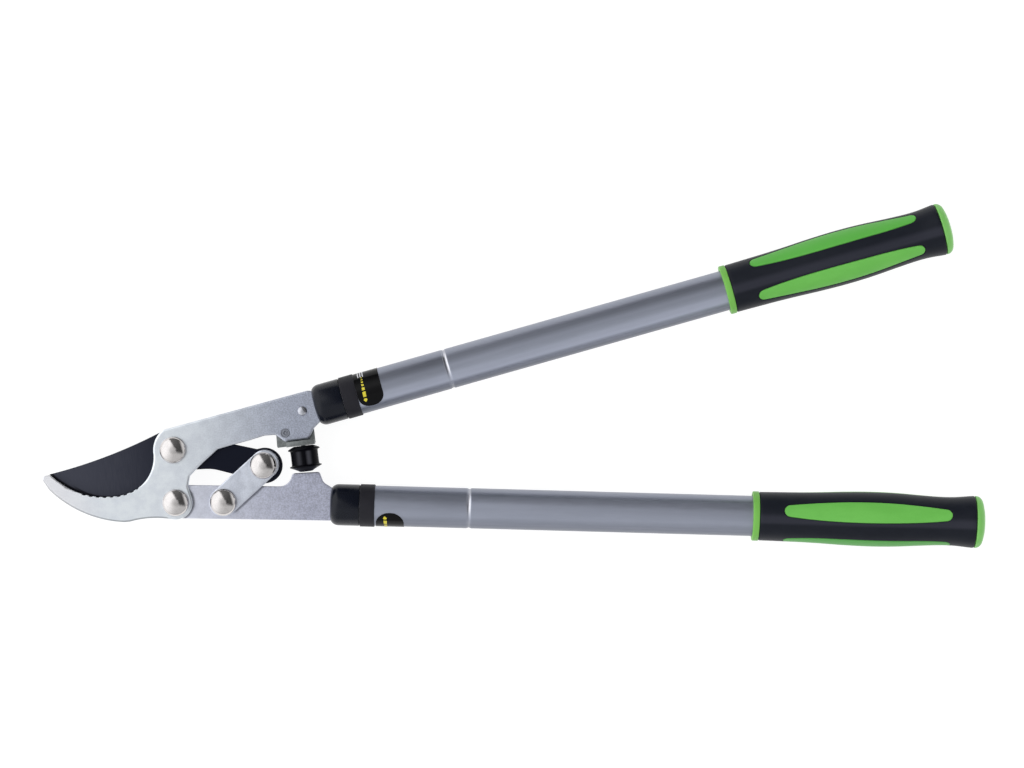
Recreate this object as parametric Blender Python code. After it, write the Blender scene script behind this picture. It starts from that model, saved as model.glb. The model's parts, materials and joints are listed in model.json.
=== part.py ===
"""Telescopic bypass lopper, lying flat with its jaw closed and both handles pushed in.

Sizes are in millimetres and become metres where meshes and places are set (MM).
The tool's own plane has its origin at the arm pivot: X runs along the line that halves
the angle between the handles, from the head to the grips, Y points to the upper handle,
and Z is up, towards the domed bolt heads. Each handle has an axis of its own, whose X
starts at the front edge of its fixed collar and runs along the tube.
"""

import math

import bmesh
import bpy
from mathutils import Vector

MM = 0.001
GAP = 0.3

# Where the tool stands: the arm pivot and the tubes' common plane, from the middle of
# the footprint on the floor.
ARM_PIVOT_PLACE = (-242.8, -20.8, 19.7)

# Pivots in the tool's plane.
ARM_PIVOT = (0.0, 0.0)
BLADE_PIVOT = (2.9, 37.7)
BLADE_LINK_PIVOT = (65.8, 18.6)
ARM_LINK_PIVOT = (34.0, -3.9)

# Heights of the flat pieces, low face and high face, from the tubes' plane.
FRONT_LAYER = (0.15, 4.15)
REAR_LAYER = (-4.15, -0.15)
FRONT_LINK_LAYER = (0.15, 3.15)
REAR_LINK_LAYER = (-7.45, -4.45)
BRACKET_LAYER = (-2.65, -0.15)

# Pivot bolts.
SHANK_RADIUS = 4.0
BORE_RADIUS = 4.15
DOME_RADIUS = 9.7
DOME_HEIGHT = 6.0
WASHER_RADIUS = 8.0
WASHER_THICKNESS = 1.2
NUT_ACROSS_FLATS = 13.0
NUT_THICKNESS = 4.6
BOLT_PROUD = 0.8
LINK_HALF_WIDTH = 10.6
# The link's eye at the blade is wide, because the link there runs up to 1.8 mm off.
LINK_EYE_RADIUS = 6.1

# Handles: the angle of each from the tool's X, and the middle of each fixed collar's front.
HANDLE_ANGLE = 8.69
COLLAR_FRONT = {"upper": (107.9, 56.1), "lower": (110.3, -15.2)}
TURN_SIGN = {"upper": 1, "lower": -1}
GRIP_START = {"upper": 307.4, "lower": 303.2}
GRIP_CLOCKING = {"upper": 50.2, "lower": 14.2}
LABEL_CLOCKING = {"upper": -39.0, "lower": -247.5}

# Along a handle, from the front edge of its fixed collar.
FIXED_COLLAR_LENGTH = 20.9
FIXED_COLLAR_RADIUS = 14.9
TUBE_COLLAR_END = 32.0
TUBE_COLLAR_RADIUS = 15.3
OUTER_TUBE_START = 23.5
OUTER_TUBE_LENGTH = 430.0
OUTER_TUBE_RADIUS = 14.5
OUTER_TUBE_WALL = 1.2
GROOVE_PLACE = 99.7
GROOVE_HALF_WIDTH = 1.8
GROOVE_DEPTH = 0.55
INNER_TUBE_START = 9.0
INNER_TUBE_END = 425.0
INNER_TUBE_RADIUS = 12.0
INNER_TUBE_WALL = 1.5
TANG_END = 55.0
TANG_HALF_WIDTH = 8.0
TANG_PIN_PLACE = 15.0
TANG_PIN_RADIUS = 2.0
SLOT_HALF_WIDTH = 12.7

# Along a grip, from its front edge.
GRIP_RING_LENGTH = 5.8
GRIP_RING_RADIUS = 17.8
CORE_BORE_RADIUS = 14.8
CORE_RADIUS = 15.8
SLEEVE_START = 6.1
SLEEVE_END = 160.0
CAP_END = 167.0
CAP_FLAT_RADIUS = 10.0
WINDOW_START = 24.0
WINDOW_END = 145.7
WINDOW_HALF_WIDTH = 7.5
WINDOW_END_HALF_WIDTH = 3.4

# Label strip round the outer tube.
LABEL_START = 33.0
LABEL_WIDTH = 20.0
LABEL_SWEEP = 230.0
LABEL_INNER_RADIUS = 14.65
LABEL_OUTER_RADIUS = 14.85

BUMPER_PLACE = (96.2, 29.2, 2.9)
DOMED_RIVET_PLACE = (98.6, 54.1)
FLUSH_RIVET_PLACE = (84.4, 39.9)
BRACKET_RIVET_SHANK = 1.7
STUD_RADIUS = 1.6
STUD_HEAD_RADIUS = 2.7

TUBE_SIDES = 32
SMALL_SIDES = 20
GRIP_SIDES = 24
ARC_STEP = 20.0

# A pin's hole is this much wider all round, and every cutter is long enough to come out.
PIN_CLEARANCE = 0.15
CUTTER_LENGTH = 60.0
# Turns that stand a round piece up along Z, head on top, or point it at the lower handle.
UPRIGHT = (0, -90, 0)
TOWARDS_LOWER_HANDLE = (0, 0, -90)

FINISHES = {
    "zinc_steel": ((0.56, 0.60, 0.63), 0.38, 0.85),
    "polished_nickel": ((0.74, 0.71, 0.69), 0.16, 1.0),
    "coated_blade": ((0.035, 0.035, 0.048), 0.42, 0.2),
    "black_plastic": ((0.022, 0.022, 0.026), 0.42, 0.0),
    "satin_aluminium": ((0.42, 0.44, 0.48), 0.34, 0.9),
    "soft_rubber": ((0.02, 0.02, 0.025), 0.6, 0.0),
    "green_plastic": ((0.10, 0.44, 0.05), 0.45, 0.0),
    "label_film": ((0.012, 0.012, 0.012), 0.3, 0.0),
    "natural_nylon": ((0.55, 0.53, 0.48), 0.5, 0.0),
    "plain_steel": ((0.45, 0.45, 0.46), 0.35, 1.0),
}


def clear_scene():
    for obj in list(bpy.data.objects):
        bpy.data.objects.remove(obj, do_unlink=True)


def finish_material(finish):
    found = bpy.data.materials.get(finish)
    if found:
        return found
    colour, roughness, metallic = FINISHES[finish]
    material = bpy.data.materials.new(finish)
    material.use_nodes = True
    shader = material.node_tree.nodes["Principled BSDF"]
    shader.inputs["Base Color"].default_value = (*colour, 1.0)
    shader.inputs["Roughness"].default_value = roughness
    shader.inputs["Metallic"].default_value = metallic
    material.diffuse_color = (*colour, 1.0)
    return material


def empty(name, place, turn=0.0, parent=None):
    """A frame of its own: place in millimetres, turn about Z in degrees."""
    frame = bpy.data.objects.new(name, None)
    frame.location = Vector(place) * MM
    frame.rotation_euler.z = math.radians(turn)
    frame.parent = parent
    bpy.context.scene.collection.objects.link(frame)
    return frame


def add_object(name, data, parent, place, turns=(0.0, 0.0, 0.0)):
    obj = bpy.data.objects.new(name, data)
    obj.parent = parent
    obj.location = Vector(place) * MM
    obj.rotation_euler = [math.radians(turn) for turn in turns]
    bpy.context.scene.collection.objects.link(obj)
    return obj


def mesh_object(name, bm, finish, parent, place=(0, 0, 0), turns=(0, 0, 0)):
    bmesh.ops.recalc_face_normals(bm, faces=bm.faces)
    mesh = bpy.data.meshes.new(name)
    bm.to_mesh(mesh)
    bm.free()
    mesh.shade_smooth()
    mesh.set_sharp_from_angle(angle=math.radians(35))
    mesh.materials.append(finish_material(finish))
    return add_object(name, mesh, parent, place, turns)


def as_cutter(obj):
    obj.hide_render = True
    obj.display_type = "WIRE"
    return obj


def cut(obj, cutter):
    modifier = obj.modifiers.new("cut_" + cutter.name, "BOOLEAN")
    modifier.operation = "DIFFERENCE"
    modifier.object = cutter


def join(obj, other):
    modifier = obj.modifiers.new("join_" + other.name, "BOOLEAN")
    modifier.operation = "UNION"
    modifier.object = other


# Outlines in millimetres.


def circle(centre, radius, sides=SMALL_SIDES):
    turns = [2 * math.pi * k / sides for k in range(sides)]
    return [(centre[0] + radius * math.cos(t), centre[1] + radius * math.sin(t)) for t in turns]


def arc(centre, radius, start, end, step=ARC_STEP):
    """Points of an arc from angle start to angle end, in degrees, both ends included."""
    steps = max(2, math.ceil(abs(end - start) / step))
    turns = [math.radians(start + (end - start) * k / steps) for k in range(steps + 1)]
    return [(centre[0] + radius * math.cos(t), centre[1] + radius * math.sin(t)) for t in turns]


def arc_through(first, middle, last, steps):
    """Points of the arc through three points, first and last included."""
    a, b, c = Vector(first), Vector(middle), Vector(last)
    ab, ac = b - a, c - a
    cross = 2 * (ab.x * ac.y - ab.y * ac.x)
    centre = a + Vector(
        (
            (ac.y * ab.length_squared - ab.y * ac.length_squared) / cross,
            (ab.x * ac.length_squared - ac.x * ab.length_squared) / cross,
        )
    )
    start = math.atan2(*(a - centre).yx)
    sweep = math.atan2(*(c - centre).yx) - start
    turn = 2 * math.pi
    sweep = sweep % turn if cross > 0 else sweep % turn - turn
    radius = (a - centre).length
    turns = [start + sweep * k / steps for k in range(steps + 1)]
    return [(centre.x + radius * math.cos(t), centre.y + radius * math.sin(t)) for t in turns]


def rounded(corners):
    """A closed outline: a corner (x, y) stays sharp, and (x, y, radius) becomes an arc."""
    points = []
    for i, corner in enumerate(corners):
        here = Vector(corner[:2])
        if len(corner) == 2:
            points.append(tuple(here))
            continue
        back = (Vector(corners[i - 1][:2]) - here).normalized()
        ahead = (Vector(corners[(i + 1) % len(corners)][:2]) - here).normalized()
        half = back.angle(ahead) / 2
        centre = here + (back + ahead).normalized() * corner[2] / math.sin(half)
        reach = corner[2] / math.tan(half)
        start = here + back * reach - centre
        sweep = start.angle_signed(here + ahead * reach - centre)
        steps = max(2, math.ceil(math.degrees(abs(sweep)) / ARC_STEP))
        first = math.atan2(start.y, start.x)
        for k in range(steps + 1):
            t = first - sweep * k / steps
            points.append((centre.x + corner[2] * math.cos(t), centre.y + corner[2] * math.sin(t)))
    return points


def on_handle(side, along, across):
    """The point of the tool's plane this far along a handle and across it, towards +Y."""
    turn = math.radians(HANDLE_ANGLE * TURN_SIGN[side])
    x, y = COLLAR_FRONT[side]
    return (
        x + along * math.cos(turn) - across * math.sin(turn),
        y + along * math.sin(turn) + across * math.cos(turn),
    )


# Solids.


def plate(name, outline, holes, layer, finish, parent):
    """A flat piece: an outline with holes, given thickness between the layer's two heights."""
    curve = bpy.data.curves.new(name, "CURVE")
    curve.dimensions = "2D"
    curve.fill_mode = "BOTH"
    curve.extrude = (layer[1] - layer[0]) / 2 * MM
    for loop in [outline, *holes]:
        spline = curve.splines.new("POLY")
        spline.points.add(len(loop) - 1)
        spline.use_cyclic_u = True
        for point, (x, y) in zip(spline.points, loop):
            point.co = (x * MM, y * MM, 0, 1)
    curve.materials.append(finish_material(finish))
    return add_object(name, curve, parent, (0, 0, (layer[0] + layer[1]) / 2))


def turned(name, profile, sides, finish, parent, place=(0, 0, 0), turns=(0, 0, 0)):
    """A round piece: an outline of (along, radius) points spun about its own X."""
    bm = bmesh.new()
    verts = [bm.verts.new((along * MM, radius * MM, 0)) for along, radius in profile]
    edges = [bm.edges.new(pair) for pair in zip(verts, verts[1:])]
    if profile[0][1] > 0:
        edges.append(bm.edges.new((verts[-1], verts[0])))
    bmesh.ops.spin(
        bm,
        geom=verts + edges,
        axis=(1, 0, 0),
        cent=(0, 0, 0),
        angle=2 * math.pi,
        steps=sides,
        use_merge=True,
    )
    bmesh.ops.remove_doubles(bm, verts=bm.verts, dist=1e-7)
    return mesh_object(name, bm, finish, parent, place, turns)


def box(name, low, high, finish, parent):
    """A plain block between two corners."""
    bm = bmesh.new()
    bmesh.ops.create_cube(bm, size=1.0)
    low, high = Vector(low), Vector(high)
    for vert in bm.verts:
        vert.co = (low + (vert.co + Vector((0.5, 0.5, 0.5))) * (high - low)) * MM
    return mesh_object(name, bm, finish, parent)


def prism(name, outline, height, finish, parent, turns=(0, 0, 0)):
    """An outline extruded to half the height above and below its own plane."""
    bm = bmesh.new()
    low = [bm.verts.new((x * MM, y * MM, -height / 2 * MM)) for x, y in outline]
    high = [bm.verts.new((x * MM, y * MM, height / 2 * MM)) for x, y in outline]
    bm.faces.new(low[::-1])
    bm.faces.new(high)
    for i in range(len(outline)):
        bm.faces.new((low[i - 1], low[i], high[i], high[i - 1]))
    return mesh_object(name, bm, finish, parent, turns=turns)


# Head: jaw, blade, arms, links and their bolts.


def saw_edge(points, depth, outwards_from):
    """Small notches along an edge: each step drops away from a centre, then runs back."""
    toothed = []
    for point in points:
        here = Vector(point)
        away = (here - Vector(outwards_from)).normalized()
        toothed.append(tuple(here))
        toothed.append(tuple(here + away * depth))
    return toothed


def hook_arm_outline():
    """Hook jaw, eye of both pivots and upper arm in one plate, with its tang."""
    jaw_centre = (-42.0, 55.0)
    tooth_depth = 0.6
    front = arc_through((-87.4, 30.6), (-78.4, 21.6), (-68.4, 15.3), 5)
    teeth_front = arc_through((-66.2, 14.3), (-57.0, 11.3), (-44.9, 9.8), 5)
    teeth_back = arc_through((-40.6, 9.6), (-34.0, 10.3), (-26.8, 12.9), 3)
    back = arc_through((-25.0, 13.9), (-16.4, 22.0), (-11.2, 37.0), 7)
    underside = [
        (105.6, 40.8, 4.0),
        (101.9, 33.7, 2.0),
        (83.2, 33.7, 2.0),
        (77.6, 39.9, 3.0),
        (69.5, 40.4, 8.0),
        (58.0, 37.8),
        (41.5, 36.2, 14.0),
        (16.5, 21.7),
        (9.0, 16.6, 6.0),
        (9.9, 9.0),
    ]
    tang = [
        (2.0, 11.2),
        (7.5, 11.2),
        (7.5, TANG_HALF_WIDTH),
        (TANG_END, TANG_HALF_WIDTH),
        (TANG_END, -TANG_HALF_WIDTH),
        (7.5, -TANG_HALF_WIDTH),
        (7.5, -11.6),
        (0.0, -11.9),
    ]
    return rounded(
        [
            (-92.9, 31.0, 1.8),
            *front,
            *saw_edge(teeth_front + teeth_back, tooth_depth, jaw_centre),
            *back,
            (-11.2, 52.0, 13.0),
            (103.8, 68.5, 3.0),
            *[on_handle("upper", *point) for point in tang],
            *underside,
            *arc(ARM_PIVOT, 12.2, 16, -98),
            *arc_through((-8.0, -10.5), (-20.0, -8.8), (-34.0, -9.5), 4),
            *arc_through((-38.0, -9.4), (-63.5, -0.8), (-88.9, 20.2), 8),
            (-92.6, 27.6),
        ]
    )


def make_hook_arm(parent):
    pin = on_handle("upper", TANG_PIN_PLACE, 0)
    holes = [
        circle(ARM_PIVOT, BORE_RADIUS),
        circle(BLADE_PIVOT, BORE_RADIUS),
        circle(DOMED_RIVET_PLACE, BRACKET_RIVET_SHANK + PIN_CLEARANCE, 16),
        circle(FLUSH_RIVET_PLACE, BRACKET_RIVET_SHANK + PIN_CLEARANCE, 16),
        circle(pin, TANG_PIN_RADIUS + PIN_CLEARANCE, 16),
    ]
    plate("hook_arm", hook_arm_outline(), holes, FRONT_LAYER, "zinc_steel", parent)


def lower_arm_outline():
    tang = [
        (1.0, 11.8),
        (7.5, 11.8),
        (7.5, TANG_HALF_WIDTH),
        (TANG_END, TANG_HALF_WIDTH),
        (TANG_END, -TANG_HALF_WIDTH),
        (7.5, -TANG_HALF_WIDTH),
        (7.5, -11.4),
        (-1.0, -11.7),
    ]
    return rounded(
        [
            *arc((0.1, 0.65), 12.05, 262, 82),
            (80.4, 1.3, 3.0),
            (86.4, 10.7, 2.5),
            (104.8, 9.0, 2.0),
            (106.6, 1.2, 6.0),
            *[on_handle("lower", *point) for point in tang],
        ]
    )


def make_lower_arm(parent):
    pin = on_handle("lower", TANG_PIN_PLACE, 0)
    holes = [
        circle(ARM_PIVOT, BORE_RADIUS),
        circle(ARM_LINK_PIVOT, BORE_RADIUS),
        circle(pin, TANG_PIN_RADIUS + PIN_CLEARANCE, 16),
    ]
    plate("lower_arm", lower_arm_outline(), holes, REAR_LAYER, "zinc_steel", parent)


def make_blade(parent):
    """Blade and tail in one plate. Its cutting edge is ground from the rear to a thin land."""
    edge_bevel = 5.5
    edge_land = 0.6
    grind_centre = (-42.0, 62.0)
    spine = arc_through((-88.0, 31.2), (-50.4, 37.7), (-5.5, 51.0), 8)
    body = [
        (-1.1, 52.4, 5.0),
        (12.0, 48.0, 20.0),
        (62.4, 30.4),
        *arc((66.5, 18.0), 12.5, 95, -115),
        (43.3, 15.6, 30.0),
        (29.0, 21.0, 30.0),
        (6.0, 22.6, 20.0),
    ]
    heel = arc_through((-6.0, 20.5), (-22.5, 10.0), (-42.0, 5.6), 6)
    front_edge = arc_through((-47.0, 5.9), (-67.6, 11.6), (-86.6, 29.2), 8)
    edge = heel + front_edge
    solid = rounded([*spine, *body])
    full = solid + edge
    ground = list(solid)
    for k, point in enumerate(edge):
        inwards = (Vector(grind_centre) - Vector(point)).normalized()
        ramp = min(1.0, (k + 0.3) / 3, (len(edge) - k - 0.6) / 3)
        ground.append(tuple(Vector(point) + inwards * edge_bevel * ramp))
    low, high = REAR_LAYER
    levels = [(high, full), (high - edge_land, full), (low, ground)]
    bm = bmesh.new()
    loops = [[bm.verts.new((x * MM, y * MM, z * MM)) for x, y in loop] for z, loop in levels]
    bm.faces.new(loops[0])
    bm.faces.new(loops[-1][::-1])
    for upper, lower in zip(loops, loops[1:]):
        for i in range(len(full)):
            bm.faces.new((upper[i - 1], upper[i], lower[i], lower[i - 1]))
    blade_axis = Vector((*BLADE_PIVOT, 0))
    bmesh.ops.translate(bm, verts=bm.verts, vec=-blade_axis * MM)
    blade = mesh_object("cutting_blade", bm, "coated_blade", parent)
    for name, pivot in (("blade_eye", BLADE_PIVOT), ("tail_eye", BLADE_LINK_PIVOT)):
        place = (pivot[0] - BLADE_PIVOT[0], pivot[1] - BLADE_PIVOT[1])
        hole = prism(name, circle(place, BORE_RADIUS), CUTTER_LENGTH, "coated_blade", parent)
        cut(blade, as_cutter(hole))


def make_links(parent):
    """Two flat links, one in front of and one behind the blade's tail and the lower arm."""
    run = Vector(BLADE_LINK_PIVOT) - Vector(ARM_LINK_PIVOT)
    turn = math.degrees(math.atan2(run.y, run.x))
    far = arc(tuple(run), LINK_HALF_WIDTH, turn - 90, turn + 90)
    near = arc((0, 0), LINK_HALF_WIDTH, turn + 90, turn + 270)
    holes = [circle((0, 0), BORE_RADIUS), circle(tuple(run), LINK_EYE_RADIUS)]
    plate("front_link", far + near, holes, FRONT_LINK_LAYER, "zinc_steel", parent)
    plate("rear_link", far + near, holes, REAR_LINK_LAYER, "zinc_steel", parent)


def dome_profile(seat, end):
    """Domed head on its seat, then the shank down to its end, as (height, radius) points."""
    rim = 0.9
    crown = [(seat + rim, DOME_RADIUS)]
    for k in range(1, 5):
        t = math.radians(90 * k / 5)
        height = seat + rim + (DOME_HEIGHT - rim) * math.sin(t)
        crown.append((height, DOME_RADIUS * math.cos(t)))
    top = seat + DOME_HEIGHT
    shank = [(end, 0.0), (end, SHANK_RADIUS), (seat, SHANK_RADIUS), (seat, DOME_RADIUS)]
    return shank + crown + [(top, 0.0)]


def make_pivot_set(name, parent, place, front_face, rear_face):
    """One domed bolt with the washer and the hexagon nut that hold it from behind."""
    seat = front_face + GAP
    washer_top = rear_face - GAP
    nut_top = washer_top - WASHER_THICKNESS - GAP
    end = nut_top - NUT_THICKNESS - BOLT_PROUD
    bolt = dome_profile(seat, end)
    turned(name + "_bolt", bolt, SMALL_SIDES, "polished_nickel", parent, place, UPRIGHT)
    hole = [circle(place, BORE_RADIUS)]
    washer = (washer_top - WASHER_THICKNESS, washer_top)
    ring = circle(place, WASHER_RADIUS)
    plate(name + "_washer", ring, hole, washer, "plain_steel", parent)
    hexagon = circle(place, NUT_ACROSS_FLATS / math.sqrt(3), 6)
    nut = (nut_top - NUT_THICKNESS, nut_top)
    plate(name + "_nut", hexagon, hole, nut, "plain_steel", parent)


def make_bracket(parent):
    """Sheet bracket behind the upper arm, with a flange bent forwards over the bumper."""
    outline = rounded(
        [
            (77.2, 29.9, 1.0),
            (105.0, 29.9, 1.0),
            (105.3, 58.5, 3.0),
            (91.0, 60.5, 3.0),
            (77.8, 44.0, 4.0),
        ]
    )
    thickness = BRACKET_LAYER[1] - BRACKET_LAYER[0]
    bracket = prism("bumper_bracket", outline, thickness, "zinc_steel", parent)
    bracket.location.z = sum(BRACKET_LAYER) / 2 * MM
    flange_low = (84.5, 29.5, -2.3)
    flange_high = (104.7, 32.0, 9.5)
    flange = box("flange_stock", flange_low, flange_high, "zinc_steel", parent)
    join(bracket, as_cutter(flange))
    rivets = (("domed_rivet_hole", DOMED_RIVET_PLACE), ("flush_rivet_hole", FLUSH_RIVET_PLACE))
    for name, place in rivets:
        ring = circle(place, BRACKET_RIVET_SHANK + PIN_CLEARANCE, 16)
        hole = prism(name, ring, CUTTER_LENGTH, "zinc_steel", parent)
        cut(bracket, as_cutter(hole))
    bore = STUD_RADIUS + PIN_CLEARANCE
    hole = [(-8.0, 0.0), (-8.0, bore), (2.0, bore), (2.0, 0.0)]
    stud_hole = turned(
        "stud_hole", hole, 16, "zinc_steel", parent, BUMPER_PLACE, TOWARDS_LOWER_HANDLE
    )
    cut(bracket, as_cutter(stud_hole))


def make_bracket_rivets(parent):
    seat = FRONT_LAYER[1] + GAP
    back = BRACKET_LAYER[0] - GAP
    shank = BRACKET_RIVET_SHANK
    foot = [(back - 1.2, 0.0), (back - 1.2, 2.4), (back - 0.8, 3.0), (back, 3.0), (back, shank)]
    domed = [(seat, shank), (seat, 3.1), (seat + 0.7, 2.7), (seat + 1.3, 1.6), (seat + 1.5, 0.0)]
    flush = [(seat, shank), (seat, 3.3), (seat + 0.35, 3.0), (seat + 0.35, 1.2), (seat - 0.3, 0.0)]
    pieces = (
        ("bracket_domed_rivet", foot + domed, DOMED_RIVET_PLACE),
        ("bracket_flush_rivet", foot + flush, FLUSH_RIVET_PLACE),
    )
    for name, profile, place in pieces:
        turned(name, profile, 16, "zinc_steel", parent, (*place, 0), UPRIGHT)


def make_bumper(parent):
    """Rubber spool that the lower arm closes against, and the stud that holds it up."""
    bore = STUD_RADIUS + GAP
    spool = [
        (9.5, 0.0),
        (9.5, bore),
        (0.0, bore),
        (0.0, 6.9),
        (2.0, 11.0),
        (2.9, 11.2),
        (3.3, 9.9),
        (13.8, 10.0),
        (14.2, 11.2),
        (15.0, 11.2),
        (17.6, 5.8),
        (18.6, 4.6),
        (18.6, 0.0),
    ]
    turned(
        "rubber_bumper",
        spool,
        SMALL_SIDES,
        "soft_rubber",
        parent,
        BUMPER_PLACE,
        TOWARDS_LOWER_HANDLE,
    )
    stud = [
        (9.0, 0.0),
        (9.0, STUD_RADIUS),
        (-3.1, STUD_RADIUS),
        (-3.1, STUD_HEAD_RADIUS),
        (-4.1, STUD_HEAD_RADIUS),
        (-4.1, 0.0),
    ]
    turned("bumper_stud", stud, 16, "plain_steel", parent, BUMPER_PLACE, TOWARDS_LOWER_HANDLE)


# Handles. Everything here lies along a handle's own X, the tube's axis.


def make_fixed_collar(side, parent, layer):
    """Black collar over the arm's tang and the inner tube's end, with a rounded nose."""
    nose = [(0.0, 10.4), (0.9, 13.0), (2.6, 14.4), (4.8, FIXED_COLLAR_RADIUS)]
    profile = [
        (0.0, 0.0),
        *nose,
        (FIXED_COLLAR_LENGTH, FIXED_COLLAR_RADIUS),
        (FIXED_COLLAR_LENGTH, INNER_TUBE_RADIUS + GAP),
        (INNER_TUBE_START - GAP, INNER_TUBE_RADIUS + GAP),
        (INNER_TUBE_START - GAP, 0.0),
    ]
    collar = turned(f"{side}_front_collar", profile, TUBE_SIDES, "black_plastic", parent)
    slot = box(
        f"{side}_collar_slot",
        (-2.0, -SLOT_HALF_WIDTH, layer[0] - GAP),
        (11.0, SLOT_HALF_WIDTH, layer[1] + GAP),
        "black_plastic",
        parent,
    )
    cut(collar, as_cutter(slot))


def make_tang_insert(side, parent, layer):
    """Plastic filler that centres the flat tang in the round inner tube, and its cross pin."""
    radius = INNER_TUBE_RADIUS - INNER_TUBE_WALL - GAP
    start = INNER_TUBE_START + GAP
    end = TANG_END + 5.0
    profile = [(start, 0.0), (start, radius), (end, radius), (end, 0.0)]
    insert = turned(f"{side}_tang_insert", profile, SMALL_SIDES, "natural_nylon", parent)
    slot = box(
        f"{side}_insert_slot",
        (0.0, -TANG_HALF_WIDTH - GAP, layer[0] - GAP),
        (TANG_END + GAP, TANG_HALF_WIDTH + GAP, layer[1] + GAP),
        "natural_nylon",
        parent,
    )
    cut(insert, as_cutter(slot))
    bore = prism(
        f"{side}_pin_bore",
        circle((TANG_PIN_PLACE, 0), TANG_PIN_RADIUS + PIN_CLEARANCE, 16),
        CUTTER_LENGTH,
        "natural_nylon",
        parent,
    )
    cut(insert, as_cutter(bore))
    reach = INNER_TUBE_RADIUS - GAP
    pin = [(-reach, 0.0), (-reach, TANG_PIN_RADIUS), (reach, TANG_PIN_RADIUS), (reach, 0.0)]
    place = (TANG_PIN_PLACE, 0, 0)
    turned(f"{side}_tang_pin", pin, 16, "plain_steel", parent, place, UPRIGHT)
    return bore


def make_inner_tube(side, parent, pin_bore):
    bore = INNER_TUBE_RADIUS - INNER_TUBE_WALL
    profile = [
        (INNER_TUBE_START, bore),
        (INNER_TUBE_START, INNER_TUBE_RADIUS),
        (INNER_TUBE_END, INNER_TUBE_RADIUS),
        (INNER_TUBE_END, bore),
    ]
    tube = turned(f"{side}_inner_tube", profile, TUBE_SIDES, "satin_aluminium", parent)
    cut(tube, pin_bore)


def make_lock(side, parent, cam_parent):
    """Plug at the inner tube's far end, with the cam that locks it inside the outer tube."""
    end = INNER_TUBE_END
    body_radius = INNER_TUBE_RADIUS - INNER_TUBE_WALL - GAP
    shoulder_end = end + 7.0
    shoulder_radius = 13.0
    post_end = end + 21.0
    post_radius = 4.0
    plug = [
        (end - 20.0, 0.0),
        (end - 20.0, body_radius),
        (end + GAP, body_radius),
        (end + GAP, shoulder_radius),
        (shoulder_end, shoulder_radius),
        (shoulder_end, post_radius),
        (post_end, post_radius),
        (post_end, 1.8),
        (end + 9.0, 1.8),
        (end + 9.0, 0.0),
    ]
    turned(f"{side}_lock_plug", plug, SMALL_SIDES, "natural_nylon", parent)
    screw = [
        (end + 10.0, 0.0),
        (end + 10.0, 1.5),
        (post_end + GAP, 1.5),
        (post_end + GAP, 6.0),
        (post_end + 2.6, 5.4),
        (post_end + 2.6, 0.0),
    ]
    turned(f"{side}_cam_screw", screw, 16, "plain_steel", parent)
    cam_radius = 12.2
    cam_throw = 0.8
    cam_half_length = 5.9
    cam = prism(
        f"{side}_lock_cam",
        circle((0, cam_throw), cam_radius),
        2 * cam_half_length,
        "natural_nylon",
        cam_parent,
        UPRIGHT,
    )
    cam.location.x = (shoulder_end + GAP + cam_half_length) * MM
    ring = circle((0, 0), post_radius + GAP)
    hole = prism(f"{side}_cam_bore", ring, CUTTER_LENGTH, "natural_nylon", cam_parent, UPRIGHT)
    hole.location = cam.location
    cut(cam, as_cutter(hole))


def make_outer_tube(side, parent):
    """Outer tube with its rolled groove, which meets the plug when the handle is pulled out."""
    start = OUTER_TUBE_START
    end = start + OUTER_TUBE_LENGTH
    groove = [
        (GROOVE_PLACE - GROOVE_HALF_WIDTH, 0.0),
        (GROOVE_PLACE - 0.3 * GROOVE_HALF_WIDTH, GROOVE_DEPTH),
        (GROOVE_PLACE + 0.3 * GROOVE_HALF_WIDTH, GROOVE_DEPTH),
        (GROOVE_PLACE + GROOVE_HALF_WIDTH, 0.0),
    ]
    outside = [(along, OUTER_TUBE_RADIUS - depth) for along, depth in groove]
    bore = OUTER_TUBE_RADIUS - OUTER_TUBE_WALL
    inside = [(along, bore - depth) for along, depth in reversed(groove)]
    profile = [
        (start, bore),
        (start, OUTER_TUBE_RADIUS),
        *outside,
        (end, OUTER_TUBE_RADIUS),
        (end, bore),
        *inside,
    ]
    turned(f"{side}_outer_tube", profile, TUBE_SIDES, "satin_aluminium", parent)


def make_tube_collar(side, parent):
    """Black ring over the outer tube's front end, with the bush that guides the inner tube."""
    front = FIXED_COLLAR_LENGTH + GAP
    bush = INNER_TUBE_RADIUS + GAP
    bush_end = 40.0
    bush_outside = OUTER_TUBE_RADIUS - OUTER_TUBE_WALL - GAP
    ring_bore = OUTER_TUBE_RADIUS + 0.2
    profile = [
        (front, bush),
        (front, TUBE_COLLAR_RADIUS - 0.4),
        (front + 0.4, TUBE_COLLAR_RADIUS),
        (TUBE_COLLAR_END, TUBE_COLLAR_RADIUS),
        (TUBE_COLLAR_END, ring_bore),
        (OUTER_TUBE_START - GAP, ring_bore),
        (OUTER_TUBE_START - GAP, bush_outside),
        (bush_end, bush_outside),
        (bush_end, bush),
    ]
    turned(f"{side}_tube_collar", profile, TUBE_SIDES, "black_plastic", parent)


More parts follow.
